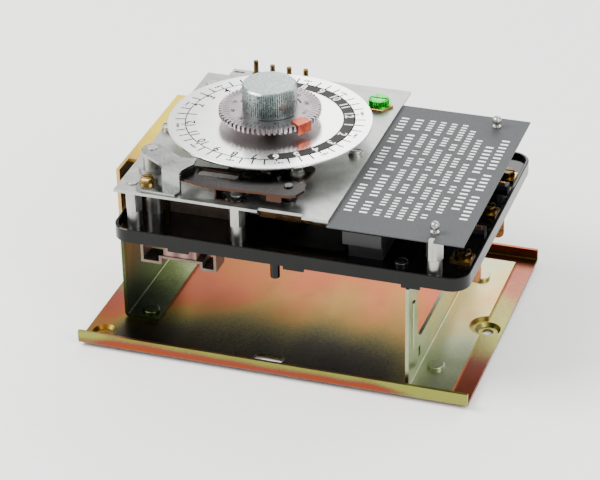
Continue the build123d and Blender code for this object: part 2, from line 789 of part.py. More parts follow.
def make_drive_wheel():
    phase = radians(motor_direction)
    wheel = gear(dial_centre, drive_wheel_teeth, drive_module, wheel_tip, phase,
                 drive_wheel_z, drive_wheel_z + wheel_thick)
    wheel += cylinder(dial_centre, drive_hub_r, drive_wheel_z - drive_hub_height, drive_wheel_z)
    for i in range(4):
        angle = radians(45 + 90 * i)
        spot = (dial_x + drive_window_circle * cos(angle), dial_y + drive_window_circle * sin(angle))
        wheel -= cylinder(spot, drive_window_r, drive_wheel_z - 1, drive_wheel_z + wheel_thick + 1)
    return wheel - cylinder(dial_centre, arbor_r + press_gap, drive_wheel_z - 4, drive_wheel_z + 5)


def make_motor_pinion():
    gearbox_top = board_top_z + gearbox_height
    pinion = gear(motor_centre, motor_pinion_teeth, drive_module, pinion_tip,
                  meshed_phase(motor_direction, motor_pinion_teeth),
                  drive_wheel_z - wheel_margin / 2, drive_wheel_z + wheel_thick + wheel_margin / 2)
    return pinion + cylinder(motor_centre, motor_shaft_r, gearbox_top - shaft_depth, drive_wheel_z)


def make_idler_wheel():
    bottom = minute_pinion_z + wheel_margin
    wheel = gear(idler_centre, idler_wheel_teeth, motion_module, wheel_tip,
                 meshed_phase(idler_direction, idler_wheel_teeth), bottom, bottom + wheel_thick)
    return wheel - cylinder(idler_centre, idler_hub_r + press_gap, bottom - 1, bottom + wheel_thick + 1)


def make_idler_pinion():
    # pinion with a hub that carries the idler wheel, free on its stud
    low = minute_pinion_z + wheel_margin
    hub = cylinder(idler_centre, idler_hub_r, low, hour_wheel_z - wheel_margin)
    pinion = gear(idler_centre, idler_pinion_teeth, hour_module, pinion_tip,
                  meshed_phase(idler_direction, idler_pinion_teeth),
                  hour_wheel_z - wheel_margin, hour_wheel_z + wheel_thick + wheel_margin / 2)
    bore = cylinder(idler_centre, idler_stud_r + pin_gap, low - 1, hour_dial_z)
    return hub + pinion - bore


def make_idler_stud():
    shoulder = cylinder(idler_centre, idler_stud_r + 1.2, plate_top_z, minute_pinion_z + wheel_margin / 2)
    pin = cylinder(idler_centre, idler_stud_r, plate_bottom_z, hour_wheel_z + wheel_thick + wheel_margin)
    return pin + shoulder


def make_termination_slider():
    # spring clip that grips the rim of the minute dial: a leg above, a leg below, a lip outside
    half = degrees(slider_width / 2 / minute_dial_r)
    grip = 0.1
    top_z = knob_z + grip
    low_z = minute_dial_z - grip
    rim_r = minute_dial_r + 0.25
    profile = [(slider_inner_r, top_z), (rim_r, top_z), (rim_r, low_z), (slider_inner_r + 1.0, low_z),
               (slider_inner_r + 1.0, low_z - slider_thick), (rim_r, low_z - slider_thick),
               (rim_r, low_z - slider_drop), (rim_r + slider_thick, low_z - slider_drop),
               (rim_r + slider_thick, top_z + slider_thick), (slider_inner_r, top_z + slider_thick)]
    face = make_face(Plane.XZ * Polyline(*profile, close=True))
    clip = revolve(face, Axis.Z, 2 * half)
    turned = Rot(0, 0, slider_angle - half) * clip
    return Pos(dial_x, dial_y, 0) * turned


def lever_outline():
    return [(-44.5, -49.6), (-40.5, -51.3), (-35.4, -52.7), (-30.0, -54.0), (-24.6, -54.6), (-16.5, -54.2),
            (-4.9, -53.2), (3.5, -53.3), (6.9, -53.3), (10.4, -51.6), (12.6, -46.5), (11.4, -41.2),
            (6.0, -40.2), (0.0, -38.0), (-14.0, -37.2), (-38.4, -39.4), (-41.6, -42.6), (-44.8, -46.0)]


def make_trip_lever():
    # flat plate with a window, a turned-down lip at the front and a lug that carries the pusher
    top = lever_z + lever_thick
    lever = prism(lever_outline(), lever_z, top)
    lever = fillet(lever.edges().filter_by(Axis.Z), 1.2)
    window = block(-35.5, -17.5, -46.2, -40.8, lever_z - 1, top + 1)
    window = fillet(window.edges().filter_by(Axis.Z), 1.5)
    lever -= window
    lever -= cylinder(lever_pivot, lever_rivet_r + pin_gap, lever_z - 1, top + 1)
    lever += block(-2.0, 4.5, -53.3, -53.3 + lever_thick, lever_z - 2.6, lever_z)
    x, y = pusher_spot
    lever += block(x - pusher_width / 2, x + pusher_width / 2, y, y + lever_thick, lever_z - 3.2, lever_z)
    return lever


def make_switch_pusher():
    # moulded finger behind the lever's lug, through the top plate to the switch blades
    x, y = pusher_spot
    y0 = y - pusher_thick
    finger = block(x - pusher_width / 2, x + pusher_width / 2, y0, y, lever_z - pusher_drop, lever_z)
    return fillet(finger.edges().group_by(Axis.Z)[0].filter_by(Axis.X), 0.6)


def make_lever_post():
    # shouldered pivot post riveted in the top plate, with a rivet head over the lever
    top = lever_z + lever_thick
    post = cylinder(lever_pivot, lever_post_r - 0.6, plate_bottom_z, plate_top_z)
    post += cylinder(lever_pivot, lever_post_r + 1.6, plate_top_z, plate_top_z + 1.0)
    post += cylinder(lever_pivot, lever_post_r, plate_top_z + 1.0, lever_z - stack_gap)
    post += cylinder(lever_pivot, lever_rivet_r, lever_z - stack_gap, top + stack_gap)
    head = cylinder(lever_pivot, lever_rivet_r + 0.5, top + stack_gap, top + 0.7)
    return post + fillet(head.edges().group_by(Axis.Z)[-1], 0.3)


def make_lever_spring():
    # leaf spring on edge behind the trip lever, riveted to the top plate by its foot
    x, y = spring_rivet_spot
    leaf_y = y + 1.8
    foot_top = plate_top_z + spring_thick
    foot = block(x - 2.5, x + 2.5, y - 2.0, leaf_y, plate_top_z, foot_top)
    leaf = block(x - spring_reach, x + 2.5, leaf_y - spring_thick, leaf_y, foot_top, release_z - 0.3)
    tip = block(x - spring_reach, x - spring_reach + 4.0, leaf_y - spring_thick, leaf_y,
                release_z - 0.3, lever_z + lever_thick)
    return foot + leaf + tip - cylinder((x, y), spring_rivet_r + pin_gap, plate_top_z - 1, foot_top + 1)


def make_spring_rivet():
    top = plate_top_z + spring_thick
    head = cylinder(spring_rivet_spot, 1.4, top, top + 0.6)
    head = fillet(head.edges().group_by(Axis.Z)[-1], 0.3)
    return cylinder(spring_rivet_spot, spring_rivet_r, plate_bottom_z, top) + head


def make_release_lever():
    # flat pawl: a broad lobe round its pivot screw and a long arm under the hour dial
    lobe = Pos(release_pivot[0], release_pivot[1]) * Circle(5.6)
    nose = Pos(6.6, -23.6) * Circle(3.0)
    arm = Pos(-24.0, -31.0) * Circle(2.6)
    outline = make_hull((lobe + nose).edges()) + make_hull((Pos(0.5, -30.5) * Circle(3.8) + arm).edges())
    lever = Pos(0, 0, release_z) * extrude(outline, release_thick)
    return lever - cylinder(release_pivot, lever_rivet_r + 0.6 + pin_gap, release_z - 1, release_z + 3)


def make_release_post():
    # shoulder screw that carries the release lever
    top = release_z + release_thick
    post = cylinder(release_pivot, lever_rivet_r, plate_bottom_z, plate_top_z)
    post += cylinder(release_pivot, lever_rivet_r + 1.8, plate_top_z, release_z - stack_gap)
    post += cylinder(release_pivot, lever_rivet_r + 0.6, release_z - stack_gap, top + stack_gap)
    post += cylinder(release_pivot, lever_rivet_r + 1.9, top + stack_gap, top + 0.6)
    head = hexagon(release_pivot, 4.8, top + 0.6, top + 2.4)
    return post + chamfer(head.edges().group_by(Axis.Z)[-1], 0.3)


def make_pointer_arm():
    # foot on the top plate, upright leg, and a flat arm whose tip reads the hour dial
    top = arm_z + arm_thick
    flat = [(-61.8, -40.1), (-51.6, -46.7), (-49.2, -49.4), (-48.8, -51.3), (-40.2, -53.3), (-40.2, -50.4),
            (-39.2, -47.6), (-37.2, -43.6), (-37.9, -39.0), (-38.9, -38.5), (-42.4, -39.2), (-45.3, -38.9),
            (-49.4, -36.1), (-55.3, -31.7), (-58.6, -30.7), (-61.9, -31.6), (-63.3, -34.4), (-63.3, -37.6)]
    arm = prism(flat, arm_z, top)
    lean = atan2(-53.3 + 51.3, -40.2 + 48.8)
    inward = (-sin(lean) * arm_thick, cos(lean) * arm_thick)
    leg = [(-48.8, -51.3), (-40.2, -53.3), (-40.2 + inward[0], -53.3 + inward[1]),
           (-48.8 + inward[0], -51.3 + inward[1])]
    arm += prism(leg, plate_top_z, arm_z)
    foot = [(-40.6, -53.2), (-41.6, -56.2), (-56.5, -55.8), (-60.0, -53.4), (-59.8, -45.8), (-53.4, -45.2),
            (-51.6, -49.6), (-48.8, -51.3)]
    arm += prism(foot, plate_top_z, plate_top_z + arm_thick)
    arm -= cylinder(arm_screw_spot, screw_r + pin_gap, plate_top_z - 1, plate_top_z + 3)
    return arm - cylinder(spool_spot, spool_tenon_r + pin_gap, arm_z - 1, top + 1)


def make_spool_post():
    # turned post: clamped through the top plate, staked over the pointer arm
    top = arm_z + arm_thick
    post = cylinder(spool_spot, spool_lower_r, board_top_z, plate_bottom_z)
    post += cylinder(spool_spot, spool_neck_r, plate_bottom_z, plate_top_z)
    post += cylinder(spool_spot, spool_flange_r, plate_top_z, plate_top_z + 1.5)
    post += cylinder(spool_spot, spool_r, plate_top_z + 1.5, arm_z)
    post += cylinder(spool_spot, spool_tenon_r, arm_z, top)
    head = cylinder(spool_spot, spool_tenon_r + 0.7, top, top + 0.5)
    post += head
    return fillet(post.edges().group_by(Axis.Z)[-1], 0.25)


def hex_washer_screw(spot, seat, washer_r, across, head_height, depth):
    # hexagon head with a round washer face, a driver slot and a plain shank
    screw = cylinder(spot, washer_r, seat, seat + 0.8)
    head = hexagon(spot, across, seat + 0.8, seat + 0.8 + head_height)
    head = chamfer(head.edges().group_by(Axis.Z)[-1], 0.35)
    screw += head
    top = seat + 0.8 + head_height
    screw -= block(spot[0] - across, spot[0] + across, spot[1] - 0.5, spot[1] + 0.5, top - 1.2, top + 1)
    return screw + cylinder(spot, screw_r, seat - depth, seat)


def pan_screw(spot, seat, depth):
    head = cylinder(spot, screw_head_r, seat, seat + screw_head_height)
    head = fillet(head.edges().group_by(Axis.Z)[-1], 0.7)
    top = seat + screw_head_height
    head -= block(spot[0] - screw_head_r, spot[0] + screw_head_r, spot[1] - slot_width / 2,
                  spot[1] + slot_width / 2, top - slot_depth, top + 1)
    return head + cylinder(spot, screw_r, seat - depth, seat)


def make_lock_washers():
    washers = []
    for spot, bottom in ((bracket_screw_spot, plate_top_z), (tapped_spots[1], plate_top_z)):
        ring = cylinder(spot, 3.3, bottom, bottom + washer_thick)
        ring -= cylinder(spot, screw_r + pin_gap, bottom - 1, bottom + 2)
        ring -= block(spot[0] - 0.35, spot[0] + 0.35, spot[1] + 1, spot[1] + 4, bottom - 1, bottom + 2)
        washers.append(ring)
    return washers


def make_plate_screws():
    seat = plate_top_z + washer_thick
    return [pan_screw(bracket_screw_spot, seat, washer_thick + plate_thick + bracket_thick + 2.0),
            pan_screw(tapped_spots[1], seat, washer_thick + plate_thick + 5.0)]


def make_ground_cup():
    # hexagonal brass washer that gathers the earth wire under the ground screw
    cup = hexagon(tapped_spots[0], cup_across, plate_top_z, plate_top_z + cup_thick)
    cup = chamfer(cup.edges().group_by(Axis.Z)[-1], 0.25)
    return cup - cylinder(tapped_spots[0], screw_r + pin_gap, plate_top_z - 1, plate_top_z + cup_thick + 1)


def spare_pin_spots():
    return [(spare_pin_first_x + i * spare_pin_pitch, spare_pin_y) for i in range(spare_pin_count)]


def make_spare_pins():
    # spare trip pins parked in the rear strip of the top plate; the first one has a collar
    pins = []
    for i, spot in enumerate(spare_pin_spots()):
        top = plate_top_z + spare_pin_heights[i]
        pin = cylinder(spot, spare_pin_tail_r, plate_bottom_z - 1.5, plate_top_z)
        pin += cylinder(spot, spare_pin_r, plate_top_z, top)
        if i == 0:
            pin += cylinder(spot, spare_collar_r, plate_top_z, plate_top_z + spare_collar_height)
        pins.append(fillet(pin.edges().group_by(Axis.Z)[-1], 0.3))
    return pins


def make_motor_gearbox():
    # round can on the board, with a raised bearing for the output shaft
    top = board_top_z + gearbox_height
    can = cylinder(motor_centre, gearbox_r, board_top_z, top)
    can = fillet(can.edges().group_by(Axis.Z)[-1], 1.0)
    can += cylinder(motor_centre, bearing_r, top, top + bearing_height)
    return can - cylinder(motor_centre, motor_shaft_r + pin_gap, top - shaft_depth - 0.2, top + 2)


def make_motor_frame():
    # folded shell in front of the gearbox, round the motor's stator
    x0, x1, y0, y1 = motor_box
    z1 = board_top_z + motor_box_height
    body = block(x0, x1, y0, y1, board_top_z, z1)
    body = fillet(body.edges().filter_by(Axis.Z), 1.5)
    body -= block(x0 + motor_shell, x1 - motor_shell, y0 + motor_shell, y1 - motor_shell,
                  board_top_z - 1, z1 - motor_shell)
    return body


def make_motor_core():
    # laminated stator inside the frame, on top of the coil
    x0, x1, y0, y1 = coil_box
    return block(x0 - 1.5, x1 + 1.5, y0 + 0.3, y1 - 0.3, board_top_z, board_top_z + core_height)


def make_motor_coil():
    # wound coil below the stator, down through the window in the board
    x0, x1, y0, y1 = coil_box
    coil = block(x0, x1, y0, y1, board_under_z - coil_drop, board_top_z)
    return fillet(coil.edges().filter_by(Axis.Z), 2.0)


def make_motor_strap():
    # bent strap under the board that holds the cover of the coil's leads
    low = board_under_z - strap_loop_drop
    middle = board_under_z - strap_middle_drop
    path = [(strap_right_x, board_under_z), (strap_right_x, low), (strap_right_x - 5.0, low),
            (strap_right_x - 5.0, middle), (strap_left_x + 7.0, middle), (strap_left_x + 7.0, low),
            (strap_left_x, low), (strap_left_x, board_under_z)]
    return strip(path, strap_thick, strap_front_y, strap_back_y)


def make_lead_cover():
    # moulded cover over the coil's leads, between the strap and the board
    return block(strap_left_x + 9.0, strap_right_x - 8.0, strap_front_y + 0.5, strap_back_y - 0.5,
                 board_under_z - strap_middle_drop + stack_gap, board_under_z - stack_gap)


def make_switch_block():
    # moulded block that clamps the roots of the switch blades
    x0, x1, y0, y1 = block_box
    split = board_top_z + block_height - block_step
    lower = block(x0 + block_inset, x1, y0 + block_inset, y1, board_top_z, split)
    upper = block(x0, x1, y0, y1, split, board_top_z + block_height)
    body = lower + upper
    for i in range(1, 4):
        y = y0 + (y1 - y0) * i / 4
        body -= block(x0 + 3.0, x1 + 1, y - 0.6, y + 0.6, board_top_z + block_height - 2.0,
                      board_top_z + block_height + 1)
    for y in blade_ys():
        body -= block(x0 - 1, x0 + blade_root + 0.1, y - pin_gap, y + blade_thick + pin_gap,
                      blade_low_z() - pin_gap, blade_low_z() + blade_width + pin_gap)
    return body


def blade_ys():
    first = pusher_spot[1] + blade_gap
    return [first + i * blade_pitch for i in range(3)]


def blade_low_z():
    return board_top_z + block_height - blade_sink


def make_switch_blades():
    z = blade_low_z()
    x0 = block_box[0] - blade_length
    x1 = block_box[0] + blade_root
    return [block(x0, x1, y, y + blade_thick, z, z + blade_width) for y in blade_ys()]


def make_switch_contacts():
    # silver buttons on the blades' free ends, facing each other across the gaps
    z = blade_low_z() + blade_width / 2
    x = block_box[0] - blade_length + contact_inset
    contacts = []
    ys = blade_ys()
    for i in range(2):
        for y, side in ((ys[i] + blade_thick, 1), (ys[i + 1], -1)):
            spot = Pos(x + contact_pitch * i, y + side * contact_height / 2, z) * Rot(90, 0, 0)
            contacts.append(spot * Cylinder(contact_r, contact_height))
    return contacts


def make_terminal_pads():
    # brass plates under the terminal screws, one end turned down through the board
    pads = []
    for y in terminal_ys:
        pad = block(terminal_x - pad_left, terminal_x + pad_right, y - pad_half_width, y + pad_half_width,
                    board_top_z, board_top_z + pad_thick)
        pads.append(pad - cylinder((terminal_x, y), screw_r + pin_gap, board_top_z - 1, board_top_z + 2))
    return pads


def make_terminal_screws():
    depth = pad_thick + board_floor + screw_spare
    return [hex_washer_screw((terminal_x, y), board_top_z + pad_thick, 3.6, 6.4, 2.0, depth)
            for y in terminal_ys]


def make_hanging_tabs():
    # stamped terminal tabs through the board, each with two screw holes
    tabs = []
    for y in tab_ys:
        low = board_under_z - tab_drop
        tab = block(tab_left_x, tab_right_x, y, y + tab_thick, low, board_top_z + tab_rise)
        tab = fillet(tab.edges().filter_by(Axis.Y).group_by(Axis.Z)[0], 3.0)
        for rise in tab_hole_heights:
            hole = Pos(tab_right_x - tab_hole_inset, y, low + rise) * Rot(90, 0, 0) * Cylinder(tab_hole_r, 10)
            tab -= hole
        tabs.append(tab)
    return tabs


def make_tab_collars():
    # moulded retainers that lock each hanging tab above the board
    collars = []
    for y in tab_ys:
        collar = block(tab_left_x - collar_margin, tab_right_x + collar_margin, y - collar_margin,
                       y + tab_thick + collar_margin, board_top_z, board_top_z + collar_height)
        collars.append(collar - block(tab_left_x - pin_gap, tab_right_x + pin_gap, y - pin_gap,
                                      y + tab_thick + pin_gap, board_top_z - 1, board_top_z + 3))
    return collars


def write_parts():
    nodes = {
        "base_plate": make_base_plate(),
        "left_bracket": make_left_bracket(),
        "right_bracket": make_right_bracket(),
        "bracket_buttons": make_bracket_buttons(),
        "terminal_board": make_terminal_board(),
        "board_screws": make_board_screws(),
        "bracket_screws": make_bracket_screws(),
        "plate_posts": make_plate_posts(),
        "lever_guide": make_lever_guide(),
        "star_washer": make_star_washer(),
        "top_plate": make_top_plate(),
        "arbor_bush": make_arbor_bush(),
        "stud_posts": make_stud_posts(),
        "ball_studs": make_ball_studs(),
        "insulator_sheet": make_insulator_sheet(),
        "hour_dial": make_hour_dial(),
        "hour_wheel": make_hour_wheel(),
        "hub_rivets": make_hub_rivets(),
        "minute_dial": make_minute_dial(),
        "setting_knob": make_setting_knob(),
        "arbor": make_arbor(),
        "drive_wheel": make_drive_wheel(),
        "motor_pinion": make_motor_pinion(),
        "idler_wheel": make_idler_wheel(),
        "idler_pinion": make_idler_pinion(),
        "idler_stud": make_idler_stud(),
        "termination_slider": make_termination_slider(),
        "trip_lever": make_trip_lever(),
        "switch_pusher": make_switch_pusher(),
        "lever_post": make_lever_post(),
        "lever_spring": make_lever_spring(),
        "spring_rivet": make_spring_rivet(),
        "release_lever": make_release_lever(),
        "release_post": make_release_post(),
        "pointer_arm": make_pointer_arm(),
        "spool_post": make_spool_post(),
        "arm_screw": hex_washer_screw(arm_screw_spot, plate_top_z + arm_thick, 3.3, 5.4, 2.0,
                                      arm_thick + plate_thick + 2.0),
        "ground_screw": hex_washer_screw(tapped_spots[0], plate_top_z + cup_thick, 5.35, 7.9, 2.2,
                                         cup_thick + plate_thick + 5.0),
        "ground_cup": make_ground_cup(),
        "lock_washers": make_lock_washers(),
        "plate_screws": make_plate_screws(),
        "spare_pins": make_spare_pins(),
        "motor_gearbox": make_motor_gearbox(),
        "motor_frame": make_motor_frame(),
        "motor_core": make_motor_core(),
        "motor_coil": make_motor_coil(),
        "motor_strap": make_motor_strap(),
        "lead_cover": make_lead_cover(),
        "switch_block": make_switch_block(),
        "switch_blades": make_switch_blades(),
        "switch_contacts": make_switch_contacts(),
        "terminal_pads": make_terminal_pads(),
        "terminal_screws": make_terminal_screws(),
        "hanging_tabs": make_hanging_tabs(),
        "tab_collars": make_tab_collars(),
    }
    os.makedirs("parts", exist_ok=True)
    for name, shape in nodes.items():
        pieces = shape if isinstance(shape, list) else [shape]
        solids = [solid for piece in pieces for solid in piece.solids()]
        part = solids[0] if len(solids) == 1 else Compound(children=solids)
        export_step(part, f"parts/{name}.step")


write_parts()
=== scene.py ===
import json
import math
import bmesh
import bpy
import numpy as np
from mathutils import Matrix, Vector


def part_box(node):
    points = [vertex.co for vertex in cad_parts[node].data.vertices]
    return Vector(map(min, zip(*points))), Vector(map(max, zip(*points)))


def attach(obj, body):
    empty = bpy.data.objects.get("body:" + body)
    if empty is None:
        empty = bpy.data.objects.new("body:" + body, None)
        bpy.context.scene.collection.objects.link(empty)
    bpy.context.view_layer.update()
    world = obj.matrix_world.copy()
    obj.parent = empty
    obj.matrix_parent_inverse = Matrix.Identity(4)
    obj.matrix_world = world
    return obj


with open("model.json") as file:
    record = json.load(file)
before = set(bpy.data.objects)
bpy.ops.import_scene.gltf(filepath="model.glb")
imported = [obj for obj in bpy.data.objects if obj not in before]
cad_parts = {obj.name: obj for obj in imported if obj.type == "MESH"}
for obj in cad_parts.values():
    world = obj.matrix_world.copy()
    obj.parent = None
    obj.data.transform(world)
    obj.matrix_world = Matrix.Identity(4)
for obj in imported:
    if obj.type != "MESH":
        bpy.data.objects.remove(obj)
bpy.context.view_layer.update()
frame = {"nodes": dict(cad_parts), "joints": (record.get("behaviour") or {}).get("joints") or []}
mm = 0.001
print("stage: frame loaded")


# sRGB hex turned to linear
def colour(hexText):
    channels = [int(hexText[i:i + 2], 16) / 255 for i in (0, 2, 4)]
    linear = [c / 12.92 if c <= 0.04045 else ((c + 0.055) / 1.055) ** 2.4 for c in channels]
    return (*linear, 1.0)


# pattern scale whose features are about this many millimetres wide
def perMm(width):
    return 1.0 / (width * mm)


# adds a node, sets what is a value and links what is a socket; stops fill a colour ramp
def addNode(tree, kind, inputs=None, stops=None, **settings):
    node = tree.nodes.new(kind)
    for key, value in settings.items():
        setattr(node, key, value)
    for key, value in (inputs or {}).items():
        if isinstance(value, bpy.types.NodeSocket):
            tree.links.new(value, node.inputs[key])
        else:
            node.inputs[key].default_value = value
    if stops:
        ramp = node.color_ramp
        while len(ramp.elements) < len(stops):
            ramp.elements.new(0.5)
        for element, (place, tint) in zip(ramp.elements, stops):
            element.position = place
            element.color = tint
    return node


# new material with its tree, its shader and the object coordinates
def startMaterial(name, **shaderInputs):
    material = bpy.data.materials.new(name)
    material.use_nodes = True
    tree = material.node_tree
    shader = tree.nodes["Principled BSDF"]
    for key, value in shaderInputs.items():
        shader.inputs[key.replace("_", " ")].default_value = value
    place = addNode(tree, "ShaderNodeTexCoord").outputs["Object"]
    return material, tree, shader, place


# puts vertices and faces into a new object at the origin
def meshPiece(name, points, faces, body, material):
    mesh = bpy.data.meshes.new(name)
    mesh.from_pydata(points.tolist(), [], faces.tolist())
    mesh.update()
    mesh.materials.append(material)
    piece = bpy.data.objects.new(name, mesh)
    bpy.context.scene.collection.objects.link(piece)
    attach(piece, body)
    return piece


# closed slab of a ring's sector: point = (r cos a, r sin a, z) with r and z at the section's four corners
def sectorSlab(centre, r0, r1, a0, a1, z0, z1, steps):
    angles = np.radians(np.linspace(a0, a1, steps + 1))[:, None]
    radii = np.array([r0, r1, r1, r0])[None, :]
    heights = np.array([z0, z0, z1, z1])[None, :] + 0 * angles
    points = np.stack([centre[0] + radii * np.cos(angles), centre[1] + radii * np.sin(angles), heights], -1)
    points = points.reshape(-1, 3)
    ring = np.arange(steps)[:, None] * 4
    corner = np.arange(4)[None, :]
    after = (corner + 1) % 4
    sides = np.stack([ring + corner, ring + 4 + corner, ring + 4 + after, ring + after], -1).reshape(-1, 4)
    last = steps * 4
    ends = np.array([[0, 1, 2, 3], [last + 3, last + 2, last + 1, last]])
    return points, np.vstack([sides, ends])


# joins several closed shapes into one list of points and faces
def gather(shapes):
    points, faces, count = [], [], 0
    for shapePoints, shapeFaces in shapes:
        points.append(shapePoints)
        faces.append(shapeFaces + count)
        count += len(shapePoints)
    return np.vstack(points), np.vstack(faces)


# flat box with its own turn about Z: point = centre + turned (x, y) and z at the bottom or top
def barSlab(centre, length, width, z0, z1, angle):
    turn = math.radians(angle)
    along = np.array([math.cos(turn), math.sin(turn)])
    across = np.array([-math.sin(turn), math.cos(turn)])
    corners = np.array([[-0.5, -0.5], [0.5, -0.5], [0.5, 0.5], [-0.5, 0.5]]) * [length, width]
    flat = np.asarray(centre) + corners[:, :1] * along + corners[:, 1:] * across
    points = np.vstack([np.c_[flat, np.full(4, z0)], np.c_[flat, np.full(4, z1)]])
    faces = [[3, 2, 1, 0], [4, 5, 6, 7], [0, 1, 5, 4], [1, 2, 6, 5], [2, 3, 7, 6], [3, 0, 4, 7]]
    return points, np.array(faces)


capShare = 0.72  # height of a numeral as a share of the font's size


# numerals as one mesh: each is typed, made a mesh, then turned and moved to its place
def numeralPiece(name, entries, height, z, body, material, weight, thick):
    points, faces, start = [], [], 0
    for text, x, y, angle in entries:
        curve = bpy.data.curves.new(name + "Text", "FONT")
        curve.body = text
        curve.size = height / capShare
        curve.extrude = thick / 2
        curve.offset = weight
        curve.align_x = "CENTER"
        curve.align_y = "CENTER"
        curve.resolution_u = 3
        typed = bpy.data.objects.new(name + "Text", curve)
        bpy.context.scene.collection.objects.link(typed)
        bpy.context.view_layer.update()
        made = bpy.data.meshes.new_from_object(typed.evaluated_get(bpy.context.evaluated_depsgraph_get()))
        made.transform(Matrix.Translation((x, y, z + thick / 2)) @ Matrix.Rotation(math.radians(angle), 4,
                                                                                   "Z"))
        shell = bmesh.new()
        shell.from_mesh(made)
        bmesh.ops.remove_doubles(shell, verts=shell.verts, dist=0.001 * mm)
        bmesh.ops.recalc_face_normals(shell, faces=shell.faces)
        shell.to_mesh(made)
        shell.free()
        spots = np.empty(len(made.vertices) * 3)
        made.vertices.foreach_get("co", spots)
        corners = np.empty(len(made.loops), dtype=np.int32)
        made.loops.foreach_get("vertex_index", corners)
        sizes = np.empty(len(made.polygons), dtype=np.int32)
        made.polygons.foreach_get("loop_total", sizes)
        points.append(spots.reshape(-1, 3))
        faces += [face.tolist() for face in np.split(corners + start, np.cumsum(sizes)[:-1])]
        start += len(made.vertices)
        bpy.data.objects.remove(typed)
        bpy.data.curves.remove(curve)
        bpy.data.meshes.remove(made)
    mesh = bpy.data.meshes.new(name)
    mesh.from_pydata(np.vstack(points).tolist(), [], faces)
    mesh.update()
    mesh.materials.append(material)
    piece = bpy.data.objects.new(name, mesh)
    bpy.context.scene.collection.objects.link(piece)
    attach(piece, body)
    return piece


# yellow chromate on zinc: a thin film that runs from olive through orange to pale green as it thickens; ramps
# along set axes also paint shade and dark reflections into the tint
def yellowChromate(name, look):
    material, tree, shader, place = startMaterial(name, Metallic=1.0)
    parts = addNode(tree, "ShaderNodeSeparateXYZ", {"Vector": place}).outputs
    spread = addNode(tree, "ShaderNodeMapping", {"Vector": place, "Scale": look["stretch"],
                                                 "Location": look["shift"]}).outputs[0]
    drift = addNode(tree, "ShaderNodeTexNoise", {"Vector": spread, "Scale": perMm(look["driftMm"]),
                                                 "Detail": 2.0, "Distortion": 0.5}).outputs[0]
    grit = addNode(tree, "ShaderNodeTexNoise", {"Vector": place, "Scale": perMm(look["gritMm"]),
                                                "Detail": 2.0}).outputs[0]
    film = addNode(tree, "ShaderNodeMapRange", {"Value": drift, "From Min": 0.3, "From Max": 0.7,
                                                "To Min": -look["swing"], "To Max": look["swing"]}).outputs[0]
    fine = addNode(tree, "ShaderNodeMapRange", {"Value": grit, "From Min": 0.2, "From Max": 0.8,
                                                "To Min": -look["speckle"],
                                                "To Max": look["speckle"]}).outputs[0]
    film = addNode(tree, "ShaderNodeMath", {0: film, 1: fine}, operation="ADD").outputs[0]
    # painted shade and painted reflection: each ramp moves the tint darker or lighter by place, besides the
    # film's own change of colour
    for axis, start, end, low, high in look["tintAndShadeRamps"]:
        share = addNode(tree, "ShaderNodeMapRange", {
            "Value": parts["XYZ".index(axis)], "From Min": start * mm, "From Max": end * mm,
            "To Min": low, "To Max": high}, interpolation_type="SMOOTHSTEP").outputs[0]
        film = addNode(tree, "ShaderNodeMath", {0: film, 1: share}, operation="ADD").outputs[0]
    stops = [(i / (len(look["film"]) - 1), colour(tint)) for i, tint in enumerate(look["film"])]
    tint = addNode(tree, "ShaderNodeValToRGB", {"Fac": film}, stops=stops).outputs[0]
    tree.links.new(tint, shader.inputs["Base Color"])
    wipe = addNode(tree, "ShaderNodeTexNoise", {"Vector": spread, "Scale": perMm(9),
                                                "Detail": 3.0}).outputs[0]
    rough = addNode(tree, "ShaderNodeMapRange", {"Value": wipe, "To Min": look["rough"][0],
                                                 "To Max": look["rough"][1]}).outputs[0]
    tree.links.new(rough, shader.inputs["Roughness"])
    bump = addNode(tree, "ShaderNodeBump", {"Height": grit, "Strength": 0.15,
                                            "Distance": 0.04 * mm}).outputs[0]
    tree.links.new(bump, shader.inputs["Normal"])
    return material


# sheet or bar metal with a drawn grain: grey mottle and fine lines along one axis
def grainedMetal(name, look):
    material, tree, shader, place = startMaterial(name, Metallic=1.0)
    drawn = addNode(tree, "ShaderNodeMapping", {"Vector": place, "Scale": look["grain"]}).outputs[0]
    lines = addNode(tree, "ShaderNodeTexNoise", {"Vector": drawn, "Scale": perMm(look["lineMm"]),
                                                 "Detail": 4.0}).outputs[0]
    cloud = addNode(tree, "ShaderNodeTexNoise", {"Vector": place, "Scale": perMm(look["cloudMm"]),
                                                 "Detail": 3.0}).outputs[0]
    both = addNode(tree, "ShaderNodeMath", {0: lines, 1: cloud}, operation="ADD").outputs[0]
    half = addNode(tree, "ShaderNodeMath", {0: both, 1: 0.5}, operation="MULTIPLY").outputs[0]
    tint = addNode(tree, "ShaderNodeValToRGB", {"Fac": half}, stops=[
        (0.32, colour(look["dark"])), (0.68, colour(look["light"]))]).outputs[0]
    tree.links.new(tint, shader.inputs["Base Color"])
    rough = addNode(tree, "ShaderNodeMapRange", {"Value": half, "From Min": 0.3, "From Max": 0.7,
                                                 "To Min": look["rough"][0], "To Max": look["rough"][1]})
    tree.links.new(rough.outputs[0], shader.inputs["Roughness"])
    bump = addNode(tree, "ShaderNodeBump", {"Height": lines, "Strength": look.get("bump", 0.1),
                                            "Distance": 0.04 * mm}).outputs[0]
    tree.links.new(bump, shader.inputs["Normal"])
    return material
